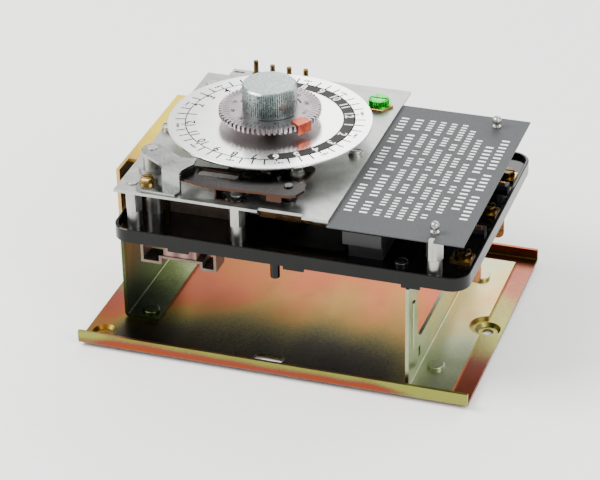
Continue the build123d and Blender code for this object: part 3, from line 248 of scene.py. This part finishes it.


# bronze finish on steel: nearly black on the flats, with a copper tint on the side faces that is a painted
# highlight along the edges
def blackenedBronze(name):
    material, tree, shader, place = startMaterial(name, Metallic=1.0)
    smear = addNode(tree, "ShaderNodeTexNoise", {"Vector": place, "Scale": perMm(6),
                                                 "Detail": 5.0}).outputs[0]
    flat = addNode(tree, "ShaderNodeValToRGB", {"Fac": smear}, stops=[
        (0.3, colour("0B0908")), (0.55, colour("14100E")), (0.75, colour("29201B"))]).outputs[0]
    # painted highlight: faces that stand upright, the sheet's edges, get the lighter copper tint
    facing = addNode(tree, "ShaderNodeNewGeometry").outputs["Normal"]
    upright = addNode(tree, "ShaderNodeSeparateXYZ", {"Vector": facing}).outputs[2]
    level = addNode(tree, "ShaderNodeMath", {0: upright}, operation="ABSOLUTE").outputs[0]
    edgeHighlight = addNode(tree, "ShaderNodeMapRange", {"Value": level, "From Min": 0.55, "From Max": 0.2}).outputs[0]
    tint = addNode(tree, "ShaderNodeMix", {0: edgeHighlight, 6: flat, 7: colour("44322A")},
                   data_type="RGBA").outputs[2]
    tree.links.new(tint, shader.inputs["Base Color"])
    rough = addNode(tree, "ShaderNodeMapRange", {"Value": smear, "To Min": 0.18, "To Max": 0.36}).outputs[0]
    tree.links.new(rough, shader.inputs["Roughness"])
    return material


# moulded thermoset: deep black gloss, softened by fine flow marks and a little dust
def mouldedBlack(name, look):
    material, tree, shader, place = startMaterial(name, IOR=look["ior"])
    flow = addNode(tree, "ShaderNodeTexNoise", {"Vector": place, "Scale": perMm(14), "Detail": 4.0,
                                                "Distortion": 1.2}).outputs[0]
    dust = addNode(tree, "ShaderNodeTexVoronoi", {"Vector": place, "Scale": perMm(2.4)},
                   feature="F1").outputs["Distance"]
    fleck = addNode(tree, "ShaderNodeMapRange", {"Value": dust, "From Min": 0.03, "From Max": 0.07,
                                                 "To Min": 1.0, "To Max": 0.0}).outputs[0]
    base = addNode(tree, "ShaderNodeValToRGB", {"Fac": flow}, stops=[
        (0.3, colour(look["dark"])), (0.7, colour(look["light"]))]).outputs[0]
    tint = addNode(tree, "ShaderNodeMix", {0: fleck, 6: base, 7: colour("232322")},
                   data_type="RGBA").outputs[2]
    tree.links.new(tint, shader.inputs["Base Color"])
    rough = addNode(tree, "ShaderNodeMapRange", {"Value": flow, "To Min": look["rough"][0],
                                                 "To Max": look["rough"][1]}).outputs[0]
    tree.links.new(rough, shader.inputs["Roughness"])
    bump = addNode(tree, "ShaderNodeBump", {"Height": flow, "Strength": 0.1, "Distance": 0.1 * mm}).outputs[0]
    tree.links.new(bump, shader.inputs["Normal"])
    return material


# vulcanised fibre sheet: grey with a fine pressed-paper grain
def fibreSheet(name):
    material, tree, shader, place = startMaterial(name, IOR=1.5)
    grain = addNode(tree, "ShaderNodeTexNoise", {"Vector": place, "Scale": perMm(0.45), "Detail": 3.0,
                                                 "Roughness": 0.7}).outputs[0]
    tint = addNode(tree, "ShaderNodeValToRGB", {"Fac": grain}, stops=[
        (0.3, colour("26282A")), (0.5, colour("343638")), (0.72, colour("4A4C4F"))]).outputs[0]
    tree.links.new(tint, shader.inputs["Base Color"])
    rough = addNode(tree, "ShaderNodeMapRange", {"Value": grain, "To Min": 0.55, "To Max": 0.75}).outputs[0]
    tree.links.new(rough, shader.inputs["Roughness"])
    bump = addNode(tree, "ShaderNodeBump", {"Height": grain, "Strength": 0.35,
                                            "Distance": 0.05 * mm}).outputs[0]
    tree.links.new(bump, shader.inputs["Normal"])
    return material


# spun aluminium: turning rings round the dial's centre, bright and only slightly blurred
def spunMetal(name, look, centre):
    material, tree, shader, place = startMaterial(name, Metallic=1.0)
    middle = addNode(tree, "ShaderNodeMapping", {"Vector": place, "Location": (-centre[0], -centre[1], 0)})
    parts = addNode(tree, "ShaderNodeSeparateXYZ", {"Vector": middle.outputs[0]}).outputs
    flatPlace = addNode(tree, "ShaderNodeCombineXYZ", {"X": parts[0], "Y": parts[1]}).outputs[0]
    radius = addNode(tree, "ShaderNodeVectorMath", {0: flatPlace}, operation="LENGTH").outputs["Value"]
    ringPlace = addNode(tree, "ShaderNodeCombineXYZ", {"X": radius, "Z": parts[2]}).outputs[0]
    rings = addNode(tree, "ShaderNodeTexNoise", {"Vector": ringPlace, "Scale": perMm(look["ringMm"]),
                                                 "Detail": 3.0}).outputs[0]
    cloud = addNode(tree, "ShaderNodeTexNoise", {"Vector": place, "Scale": perMm(11),
                                                 "Detail": 2.0}).outputs[0]
    mixed = addNode(tree, "ShaderNodeMath", {0: rings, 1: cloud}, operation="ADD").outputs[0]
    half = addNode(tree, "ShaderNodeMath", {0: mixed, 1: 0.5}, operation="MULTIPLY").outputs[0]
    tint = addNode(tree, "ShaderNodeValToRGB", {"Fac": half}, stops=[
        (0.3, colour(look["dark"])), (0.7, colour(look["light"]))]).outputs[0]
    tree.links.new(tint, shader.inputs["Base Color"])
    rough = addNode(tree, "ShaderNodeMapRange", {"Value": half, "To Min": look["rough"][0],
                                                 "To Max": look["rough"][1]}).outputs[0]
    tree.links.new(rough, shader.inputs["Roughness"])
    bump = addNode(tree, "ShaderNodeBump", {"Height": rings, "Strength": look["bump"],
                                            "Distance": 0.02 * mm}).outputs[0]
    tree.links.new(bump, shader.inputs["Normal"])
    return material


# printing ink: one colour with a slightly uneven film
def printedInk(name, dark, light, rough):
    material, tree, shader, place = startMaterial(name, Roughness=rough, IOR=1.3)
    film = addNode(tree, "ShaderNodeTexNoise", {"Vector": place, "Scale": perMm(0.8),
                                                "Detail": 2.0}).outputs[0]
    tint = addNode(tree, "ShaderNodeValToRGB", {"Fac": film}, stops=[
        (0.35, colour(dark)), (0.7, colour(light))]).outputs[0]
    tree.links.new(tint, shader.inputs["Base Color"])
    return material


# varnished coil tape: reddish brown, wound in turns along X
def coilTape(name):
    material, tree, shader, place = startMaterial(name, IOR=1.5, Roughness=0.35)
    turns = addNode(tree, "ShaderNodeTexWave", {"Vector": place, "Scale": perMm(3.2) / 6.28,
                                                "Distortion": 1.2},
                    bands_direction="X").outputs[1]
    tint = addNode(tree, "ShaderNodeValToRGB", {"Fac": turns}, stops=[
        (0.0, colour("5B3A31")), (1.0, colour("A2766A"))]).outputs[0]
    tree.links.new(tint, shader.inputs["Base Color"])
    bump = addNode(tree, "ShaderNodeBump", {"Height": turns, "Strength": 0.3,
                                            "Distance": 0.2 * mm}).outputs[0]
    tree.links.new(bump, shader.inputs["Normal"])
    return material


# the dials turn about the minute joint's axis
joints = {j["name"]: j for j in frame["joints"]}
dialCentre = tuple(joints["minute_spin"]["pos_m"][:2])

finishes = {
    "baseChromate": yellowChromate("yellowChromateBase", {
        "stretch": (1.0, 0.7, 1.0), "shift": (0.013, 0.02, 0.0), "driftMm": 60, "swing": 0.15,
        "speckle": 0.06,
        "gritMm": 1.1, "rough": (0.24, 0.36),
        # partly the real chromate tint, partly painted shade and painted reflection of the dark board and
        # room: the ramps keep the front and the rear edge dark and lift the sides and the front flange
        "tintAndShadeRamps": (("Y", -52, -4, 0.1, 0.5), ("X", -70, -84, 0.0, 0.34), ("X", 44, 70, 0.0, 0.34),
                  ("Y", -60.8, -62.2, 0.0, 0.5), ("Y", 58, 62.2, 0.0, -0.6), ("Z", 3.4, 7.4, 0.0, 0.32)),
        # the near-black first stops carry the painted shade and painted reflection
        "film": ("1A160F", "332C19", "524C20", "74561A", "84421A", "853C26", "7C4034", "746C38", "828440")}),
    "bracketChromate": yellowChromate("yellowChromateBracket", {
        "stretch": (1.0, 1.0, 0.6), "shift": (0.03, 0.0, 0.01), "driftMm": 34, "swing": 0.12,
        "speckle": 0.06, "gritMm": 1.0,
        "rough": (0.26, 0.38),
        # partly the real chromate tint, partly painted shade: the front and the low walls stay on the dark
        # green end of the film colours while the tops rise to bright yellow
        "tintAndShadeRamps": (("Y", -44, 30, 0.06, 0.3), ("Z", 52, 60, 0.0, 0.75), ("X", 40, 58, 0.0, 0.34)),
        "film": ("2A3020", "454F30", "666E48", "84906C", "98A082", "A89C6C", "B08A58", "D2AE32", "E2CA38")}),
    "clearZinc": grainedMetal("clearZincSheet", {
        "grain": (0.5, 1.0, 1.0), "lineMm": 0.5, "cloudMm": 5, "dark": "8E918E", "light": "B4B5B1",
        "rough": (0.32, 0.42), "bump": 0.06}),
    "armZinc": grainedMetal("dullZincArm", {
        "grain": (1.0, 0.4, 1.0), "lineMm": 0.6, "cloudMm": 7, "dark": "787B79", "light": "9C9E9B",
        "rough": (0.18, 0.28), "bump": 0.04}),
    "brightNickel": grainedMetal("brightNickelBar", {
        "grain": (1.0, 1.0, 0.15), "lineMm": 1.2, "cloudMm": 9, "dark": "8E8E89", "light": "B6B5B0",
        "rough": (0.3, 0.38), "bump": 0.02}),
    "frameBronze": grainedMetal("dullBronzeFrame", {
        "grain": (1.0, 0.4, 1.0), "lineMm": 0.6, "cloudMm": 6, "dark": "5A4E46", "light": "7E7066",
        "rough": (0.42, 0.52), "bump": 0.04}),
    "darkSteel": grainedMetal("oiledDarkSteel", {
        "grain": (1.0, 1.0, 1.0), "lineMm": 0.5, "cloudMm": 3, "dark": "2A2A2B", "light": "5A5855",
        "rough": (0.25, 0.4)}),
    "springSteel": grainedMetal("temperedSpringSteel", {
        "grain": (0.2, 1.0, 1.0), "lineMm": 0.3, "cloudMm": 6, "dark": "7F7D7B", "light": "B5B2AE",
        "rough": (0.2, 0.35)}),
    # a darker copy of the brass finish, used on the terminal screws and the spare pins
    "dimBrass": grainedMetal("dimmedBrassCopy", {
        "grain": (1.0, 1.0, 0.3), "lineMm": 0.6, "cloudMm": 2, "dark": "241C10", "light": "7C6438",
        "rough": (0.2, 0.36)}),
    "brass": grainedMetal("machinedBrass", {
        "grain": (1.0, 1.0, 0.3), "lineMm": 0.3, "cloudMm": 4, "dark": "7A6236", "light": "C8A868",
        "rough": (0.16, 0.3)}),
    "copperClip": grainedMetal("copperPlatedClip", {
        "grain": (1.0, 1.0, 0.2), "lineMm": 0.5, "cloudMm": 3, "dark": "9C3F2C", "light": "D06A50",
        "rough": (0.3, 0.45)}),
    "copperTab": grainedMetal("copperStripTab", {
        "grain": (1.0, 1.0, 0.3), "lineMm": 0.4, "cloudMm": 5, "dark": "B86A42", "light": "E8A878",
        "rough": (0.2, 0.34)}),
    "contactBronze": grainedMetal("tinBronzeBlade", {
        "grain": (0.1, 1.0, 1.0), "lineMm": 0.4, "cloudMm": 9, "dark": "5E4630", "light": "80623F",
        "rough": (0.24, 0.36)}),
    "greenZinc": grainedMetal("greenDyedZinc", {
        "grain": (1.0, 1.0, 1.0), "lineMm": 0.6, "cloudMm": 2, "dark": "0A7A1C", "light": "3CD24C",
        "rough": (0.18, 0.3)}),
    "motorShell": grainedMetal("bronzeGreyShell", {
        "grain": (0.1, 0.1, 1.0), "lineMm": 1.1, "cloudMm": 9, "dark": "9A8C7E", "light": "D8CABC",
        "rough": (0.26, 0.4), "bump": 0.4}),
    "laminations": grainedMetal("laminatedCore", {
        "grain": (0.05, 0.05, 1.0), "lineMm": 0.5, "cloudMm": 9, "dark": "2E2B29", "light": "6E6861",
        "rough": (0.3, 0.5), "bump": 0.5}),
    "silver": grainedMetal("silverContact", {
        "grain": (1.0, 1.0, 1.0), "lineMm": 0.3, "cloudMm": 2, "dark": "C9C8C4", "light": "F0EFEB",
        "rough": (0.15, 0.25)}),
    "knobZinc": grainedMetal("castZincKnob", {
        "grain": (1.0, 1.0, 1.0), "lineMm": 0.5, "cloudMm": 1.4, "dark": "66716F", "light": "A9B6B4",
        "rough": (0.22, 0.34), "bump": 0.06}),
    "dialAluminium": spunMetal("spunAluminiumDial", {
        "ringMm": 0.5, "dark": "F1F1EE", "light": "FEFEFC", "rough": (0.16, 0.26), "bump": 0.05}, dialCentre),
    "minuteZinc": spunMetal("castZincMinuteDial", {
        "ringMm": 0.8, "dark": "6B6467", "light": "A89DA0", "rough": (0.26, 0.4), "bump": 0.15}, dialCentre),
    "bronze": blackenedBronze("blackenedBronzeSteel"),
    "phenolic": mouldedBlack("mouldedPhenolicBoard", {"ior": 1.3, "dark": "020202", "light": "060606",
                                                       "rough": (0.06, 0.16)}),
    "dullPhenolic": mouldedBlack("mouldedPhenolicBlock", {"ior": 1.45, "dark": "111112",
                                                          "light": "1D1D1E", "rough": (0.3, 0.45)}),
    "fibre": fibreSheet("vulcanisedFibre"),
    "tape": coilTape("varnishedCoilTape"),
    "blackInk": printedInk("blackDialInk", "030303", "080707", 0.6),
    "bandInk": printedInk("nightBandInk", "120F0E", "1A1614", 0.5),
    "whiteInk": printedInk("whiteScreenInk", "E8E8E6", "F6F6F4", 0.5),
}

nodeFinish = {
    "base_plate": "baseChromate", "left_bracket": "bracketChromate", "right_bracket": "bracketChromate",
    "bracket_buttons": "bracketChromate", "terminal_board": "phenolic", "board_screws": "brightNickel",
    "bracket_screws": "darkSteel",
    "plate_posts": "brightNickel", "lever_guide": "bronze", "star_washer": "darkSteel",
    "top_plate": "clearZinc",
    "arbor_bush": "brass", "stud_posts": "brightNickel", "ball_studs": "brightNickel",
    "insulator_sheet": "fibre", "hour_dial": "dialAluminium", "hour_wheel": "brass",
    "hub_rivets": "dialAluminium", "minute_dial": "minuteZinc", "setting_knob": "knobZinc",
    "arbor": "brightNickel", "drive_wheel": "brass", "motor_pinion": "brass", "idler_wheel": "brass",
    "idler_pinion": "brass", "idler_stud": "brightNickel", "termination_slider": "copperClip",
    "trip_lever": "bronze", "switch_pusher": "dullPhenolic", "lever_post": "darkSteel",
    "lever_spring": "springSteel", "spring_rivet": "brass", "release_lever": "bronze",
    "release_post": "brightNickel", "pointer_arm": "armZinc", "spool_post": "brightNickel",
    "arm_screw": "brass", "ground_screw": "greenZinc", "ground_cup": "brass", "lock_washers": "brightNickel",
    "plate_screws": "brightNickel", "spare_pins": "dimBrass", "motor_gearbox": "motorShell",
    "motor_frame": "frameBronze", "motor_core": "laminations", "motor_coil": "tape",
    "motor_strap": "frameBronze", "lead_cover": "tape", "switch_block": "dullPhenolic",
    "switch_blades": "contactBronze", "switch_contacts": "silver", "terminal_pads": "brass",
    "terminal_screws": "dimBrass", "hanging_tabs": "copperTab", "tab_collars": "dullPhenolic",
}
for nodeName, finishName in nodeFinish.items():
    for materialSlot in frame["nodes"][nodeName].material_slots:
        materialSlot.material = finishes[finishName]
print("stage: finishes on", len(nodeFinish), "nodes")


hourPrint = {
    "midnightAngle": 22.9, "lineR": 36.64 * mm, "lineWidth": 0.52 * mm, "bandInner": 31.6 * mm,
    "bandOuter": 36.8 * mm, "tickEnd": 41.2 * mm, "tickWidth": 0.7 * mm, "numeralR": 34.1 * mm,
    "numeralHeight": 3.9 * mm, "numeralWeight": 0.11 * mm, "film": 0.03 * mm, "holeR": 40.0 * mm,
    "holeFirst": 24.0,
    "ticks": 48, "holes": 12, "holeGap": 1.5 * mm, "pipAngle": 2.1, "pipLength": 1.0 * mm,
    "pipWidth": 0.75 * mm,
    "bandHalfAngle": 91.5, "bandCore": 0.02 * mm,
}
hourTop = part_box("hour_dial")[1].z


def polar(centre, r, angle):
    return centre[0] + r * math.cos(math.radians(angle)), centre[1] + r * math.sin(math.radians(angle))


def hourMarks(look):
    z0, z1 = hourTop, hourTop + look["film"]
    shapes = [sectorSlab(dialCentre, look["lineR"] - look["lineWidth"] / 2,
                         look["lineR"] + look["lineWidth"] / 2,
                         0, 360, z0, z1, 180)]
    for i in range(look["ticks"]):
        angle = look["midnightAngle"] + 360 / look["ticks"] * i
        onHole = i % 4 == 0
        start = look["lineR"]
        end = look["holeR"] - look["holeGap"] if onHole else look["tickEnd"]
        spot = polar(dialCentre, (start + end) / 2, angle)
        shapes.append(barSlab(spot, end - start, look["tickWidth"], z0, z1, angle))
    for i in range(look["holes"]):
        angle = look["holeFirst"] + 360 / look["holes"] * i
        for side in (-1, 1):
            spot = polar(dialCentre, look["holeR"], angle + side * look["pipAngle"])
            shapes.append(barSlab(spot, look["pipLength"], look["pipWidth"], z0, z1, angle))
    return gather(shapes)


def nightBand(look):
    middle = look["midnightAngle"]
    z0, z1 = hourTop, hourTop + look["film"]
    reach = look["bandHalfAngle"]
    shapes = [sectorSlab(dialCentre, look["bandInner"], look["bandOuter"], middle - reach, middle + reach,
                         z0, z1, 120)]
    half = (look["bandOuter"] - look["bandInner"]) / 2
    for side in (-1, 1):
        spot = polar(dialCentre, look["bandInner"] + half, middle + side * reach)
        start = middle + side * reach - (180 if side < 0 else 0)
        shapes.append(sectorSlab(spot, look["bandCore"], half, start, start + 180, z0, z1, 16))
    return gather(shapes)


marksPoints, marksFaces = hourMarks(hourPrint)
meshPiece("hourDialMarks", marksPoints, marksFaces, "hour_disc", finishes["blackInk"])
bandPoints, bandFaces = nightBand(hourPrint)
meshPiece("hourDialNightBand", bandPoints, bandFaces, "hour_disc", finishes["bandInk"])
dayEntries, nightEntries = [], []
for hour in range(24):
    angle = hourPrint["midnightAngle"] - 15 * hour
    x, y = polar(dialCentre, hourPrint["numeralR"], angle)
    night = hour <= 6 or hour >= 18
    (nightEntries if night else dayEntries).append((str((hour - 1) % 12 + 1), x, y, angle - 90))
numeralPiece("hourDialDayNumerals", dayEntries, hourPrint["numeralHeight"], hourTop, "hour_disc",
             finishes["blackInk"], hourPrint["numeralWeight"], hourPrint["film"])
numeralPiece("hourDialNightNumerals", nightEntries, hourPrint["numeralHeight"],
             hourTop + hourPrint["film"], "hour_disc", finishes["whiteInk"],
             hourPrint["numeralWeight"], hourPrint["film"])
print("stage: hour dial printed")


minutePrint = {
    "tickInner": 18.3 * mm, "tickOuter": 20.3 * mm, "tickWidth": 0.28 * mm, "numeralR": 16.0 * mm,
    "numeralHeight": 2.0 * mm, "numeralWeight": 0.03 * mm, "zeroAngle": -31.0, "ticks": 60, "longEach": 5,
    "longBy": 0.9 * mm, "film": 0.03 * mm,
    "arcR": (13.3 * mm, 14.0 * mm),
    "arcs": ((-92.0, -22.0), (30.0, 62.0), (150.0, 176.0)),
}
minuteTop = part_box("minute_dial")[1].z


def minuteMarks(look):
    z0, z1 = minuteTop, minuteTop + look["film"]
    shapes = []
    for i in range(look["ticks"]):
        angle = 360 / look["ticks"] * i
        inner = look["tickInner"] - (look["longBy"] if i % look["longEach"] == 0 else 0)
        spot = polar(dialCentre, (inner + look["tickOuter"]) / 2, angle)
        shapes.append(barSlab(spot, look["tickOuter"] - inner, look["tickWidth"], z0, z1, angle))
    for start, end in look["arcs"]:
        shapes.append(sectorSlab(dialCentre, *look["arcR"], start, end, z0, z1, 24))
    return gather(shapes)


marksPoints, marksFaces = minuteMarks(minutePrint)
meshPiece("minuteDialMarks", marksPoints, marksFaces, "minute_shaft", finishes["blackInk"])
minuteEntries = []
for i in range(1, 12):
    angle = minutePrint["zeroAngle"] - 30 * i
    x, y = polar(dialCentre, minutePrint["numeralR"], angle)
    minuteEntries.append((str(10 * i), x, y, angle - 90))
numeralPiece("minuteDialNumerals", minuteEntries, minutePrint["numeralHeight"], minuteTop, "minute_shaft",
             finishes["blackInk"], minutePrint["numeralWeight"], minutePrint["film"])
print("stage: minute dial printed")


groundCrown = {"radius": 4.35 * mm, "wave": 0.22 * mm, "teeth": 26, "bore": 3.2 * mm, "below": 1.6 * mm,
               "drop": 0.35 * mm, "round": 144}
groundLow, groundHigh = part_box("ground_screw")
groundSpot = ((groundLow.x + groundHigh.x) / 2, (groundLow.y + groundHigh.y) / 2)


# serrated ring: outer radius = radius + wave cos(teeth a), joined to a plain bore by flat top and bottom
def crownSurface(look, top):
    angles = np.linspace(0, 2 * np.pi, look["round"] * 2, endpoint=False)[:, None]
    outer = look["radius"] + look["wave"] * np.cos(look["teeth"] * angles)
    bore = look["bore"] + 0 * angles
    radii = np.hstack([bore, outer, outer, bore])
    heights = np.array([top - look["below"], top - look["below"], top, top])[None, :] + 0 * angles
    points = np.stack([groundSpot[0] + radii * np.cos(angles), groundSpot[1] + radii * np.sin(angles),
                       heights], -1)
    count = len(angles)
    ring = np.arange(count)[:, None] * 4
    nextRing = (np.arange(count)[:, None] + 1) % count * 4
    corner = np.arange(4)[None, :]
    after = (corner + 1) % 4
    sides = np.stack([ring + corner, nextRing + corner, nextRing + after, ring + after], -1).reshape(-1, 4)
    return points.reshape(-1, 3), sides


crownPoints, crownFaces = crownSurface(groundCrown, groundHigh.z - groundCrown["drop"])
meshPiece("groundScrewCrown", crownPoints, crownFaces, "chassis", finishes["greenZinc"])
print("stage: ground screw crowned")


# plain strokes on the insulator sheet, in place of words
sheetPrint = {
    "film": 0.03 * mm, "stroke": 0.36, "tall": 0.84, "wordGap": 1.1,
    # place right of the top plate, row height, front and back ends, letters in each word
    "rows": ((2.3, 4.0, -45.0, 43.6, (9, 4, 6, 3, 5)), (9.0, 4.0, -45.0, 43.8, (4, 7, 3, 8, 4)),
             (15.3, 3.0, -45.4, 44.0, (3, 5, 9, 4, 2, 6, 5)), (20.2, 3.0, -45.5, 44.0, (8, 4, 5, 3, 7, 6)),
             (25.2, 3.0, -45.5, 43.8, (5, 3, 8, 2, 6, 4, 5)), (30.1, 3.0, -45.4, 44.0, (7, 5, 2, 9, 3, 7)),
             (34.6, 3.0, -42.3, 39.6, (2, 8, 6, 4, 10)), (39.6, 3.0, -36.2, 32.0, (6, 3, 7, 8)),
             (44.8, 4.0, -31.8, 27.6, (9, 8)), (50.2, 4.0, -39.2, 35.0, (7, 5, 9))),
}
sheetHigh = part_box("insulator_sheet")[1]
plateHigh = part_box("top_plate")[1]


# rows of short strokes along Y, spread evenly between each row's two ends
def sheetRows(look):
    z0, z1 = sheetHigh.z, sheetHigh.z + look["film"]
    shapes = []
    for place, height, front, back, words in look["rows"]:
        step = (back - front) / (sum(words) + look["wordGap"] * (len(words) - 1)) * mm
        x = plateHigh.x + (place + height / 2) * mm
        y = front * mm
        for word in words:
            for letter in range(word):
                spot = (x, y + step * (letter + 0.5))
                shapes.append(barSlab(spot, height * look["tall"] * mm, step * look["stroke"], z0, z1, 0))
            y += step * (word + look["wordGap"])
    return gather(shapes)


rowPoints, rowFaces = sheetRows(sheetPrint)
meshPiece("sheetPrintedRows", rowPoints, rowFaces, "chassis", finishes["whiteInk"])
print("stage: sheet printed")


studio = {
    "lens": 147.1, "azimuth": 18.99, "elevation": 30.12, "roll": -1.257, "aim": (-5.91 * mm, 0.0, 32.24 * mm),
    "distance": 1082.07 * mm, "sensor": 36.0, "clip": (0.05, 20.0), "skyStrength": 1.15, "floorHalf": 3.0,
    "lightAim": (0, 0, 0.04),
    # name: place, size, power, tint
    "lights": {
        "keySoftbox": ((-0.75, -0.35, 0.95), (0.7, 0.7), 26, (1.0, 0.99, 0.97)),
        "fillSoftbox": ((0.9, -0.5, 0.7), (0.6, 0.6), 10, (0.98, 0.99, 1.0)),
        "backSoftbox": ((0.2, 1.0, 0.8), (1.4, 0.7), 14, (1.0, 1.0, 1.0)),
    },
}


def addFloor(half):
    material, tree, shader, place = startMaterial("paleSeamlessPaper", Roughness=0.9)
    grain = addNode(tree, "ShaderNodeTexNoise", {"Vector": place, "Scale": perMm(3),
                                                 "Detail": 2.0}).outputs[0]
    tint = addNode(tree, "ShaderNodeValToRGB", {"Fac": grain}, stops=[
        (0.0, colour("F4F3F1")), (1.0, colour("FAFAF8"))]).outputs[0]
    tree.links.new(tint, shader.inputs["Base Color"])
    mesh = bpy.data.meshes.new("studioFloor")
    mesh.from_pydata([(-half, -half, 0), (half, -half, 0), (half, half, 0), (-half, half, 0)], [], [(0, 1,
                                                                                                     2, 3)])
    mesh.materials.append(material)
    floor = bpy.data.objects.new("studioFloor", mesh)
    bpy.context.scene.collection.objects.link(floor)


def addLight(name, place, aim, size, power, tint):
    light = bpy.data.lights.new(name, "AREA")
    light.shape = "RECTANGLE"
    light.size, light.size_y = size
    light.energy = power
    light.color = tint
    lamp = bpy.data.objects.new(name, light)
    bpy.context.scene.collection.objects.link(lamp)
    lamp.location = place
    lamp.rotation_euler = (Vector(aim) - Vector(place)).to_track_quat("-Z", "Y").to_euler()


def addCamera(look):
    a, e, r = (math.radians(look[k]) for k in ("azimuth", "elevation", "roll"))
    back = Vector((math.sin(a) * math.cos(e), -math.cos(a) * math.cos(e), math.sin(e)))
    level = Vector((math.cos(a), math.sin(a), 0))
    rise = back.cross(level)
    right = math.cos(r) * level + math.sin(r) * rise
    up = -math.sin(r) * level + math.cos(r) * rise
    spot = Vector(look["aim"]) + back * look["distance"]
    data = bpy.data.cameras.new("studioCamera")
    data.lens = look["lens"]
    data.sensor_width = look["sensor"]
    data.clip_start, data.clip_end = look["clip"]
    camera = bpy.data.objects.new("studioCamera", data)
    bpy.context.scene.collection.objects.link(camera)
    camera.matrix_world = Matrix(((right.x, up.x, back.x, spot.x), (right.y, up.y, back.y, spot.y),
                                  (right.z, up.z, back.z, spot.z), (0, 0, 0, 1)))
    bpy.context.scene.camera = camera


addFloor(studio["floorHalf"])
for lightName, (lightPlace, lightSize, lightPower, lightTint) in studio["lights"].items():
    addLight(lightName, lightPlace, studio["lightAim"], lightSize, lightPower, lightTint)
addCamera(studio)
world = bpy.data.worlds.new("studioWorld")
bpy.context.scene.world = world
world.use_nodes = True
world.node_tree.nodes["Background"].inputs[0].default_value = (1.0, 1.0, 1.0, 1.0)
world.node_tree.nodes["Background"].inputs[1].default_value = studio["skyStrength"]
print("stage: studio ready")
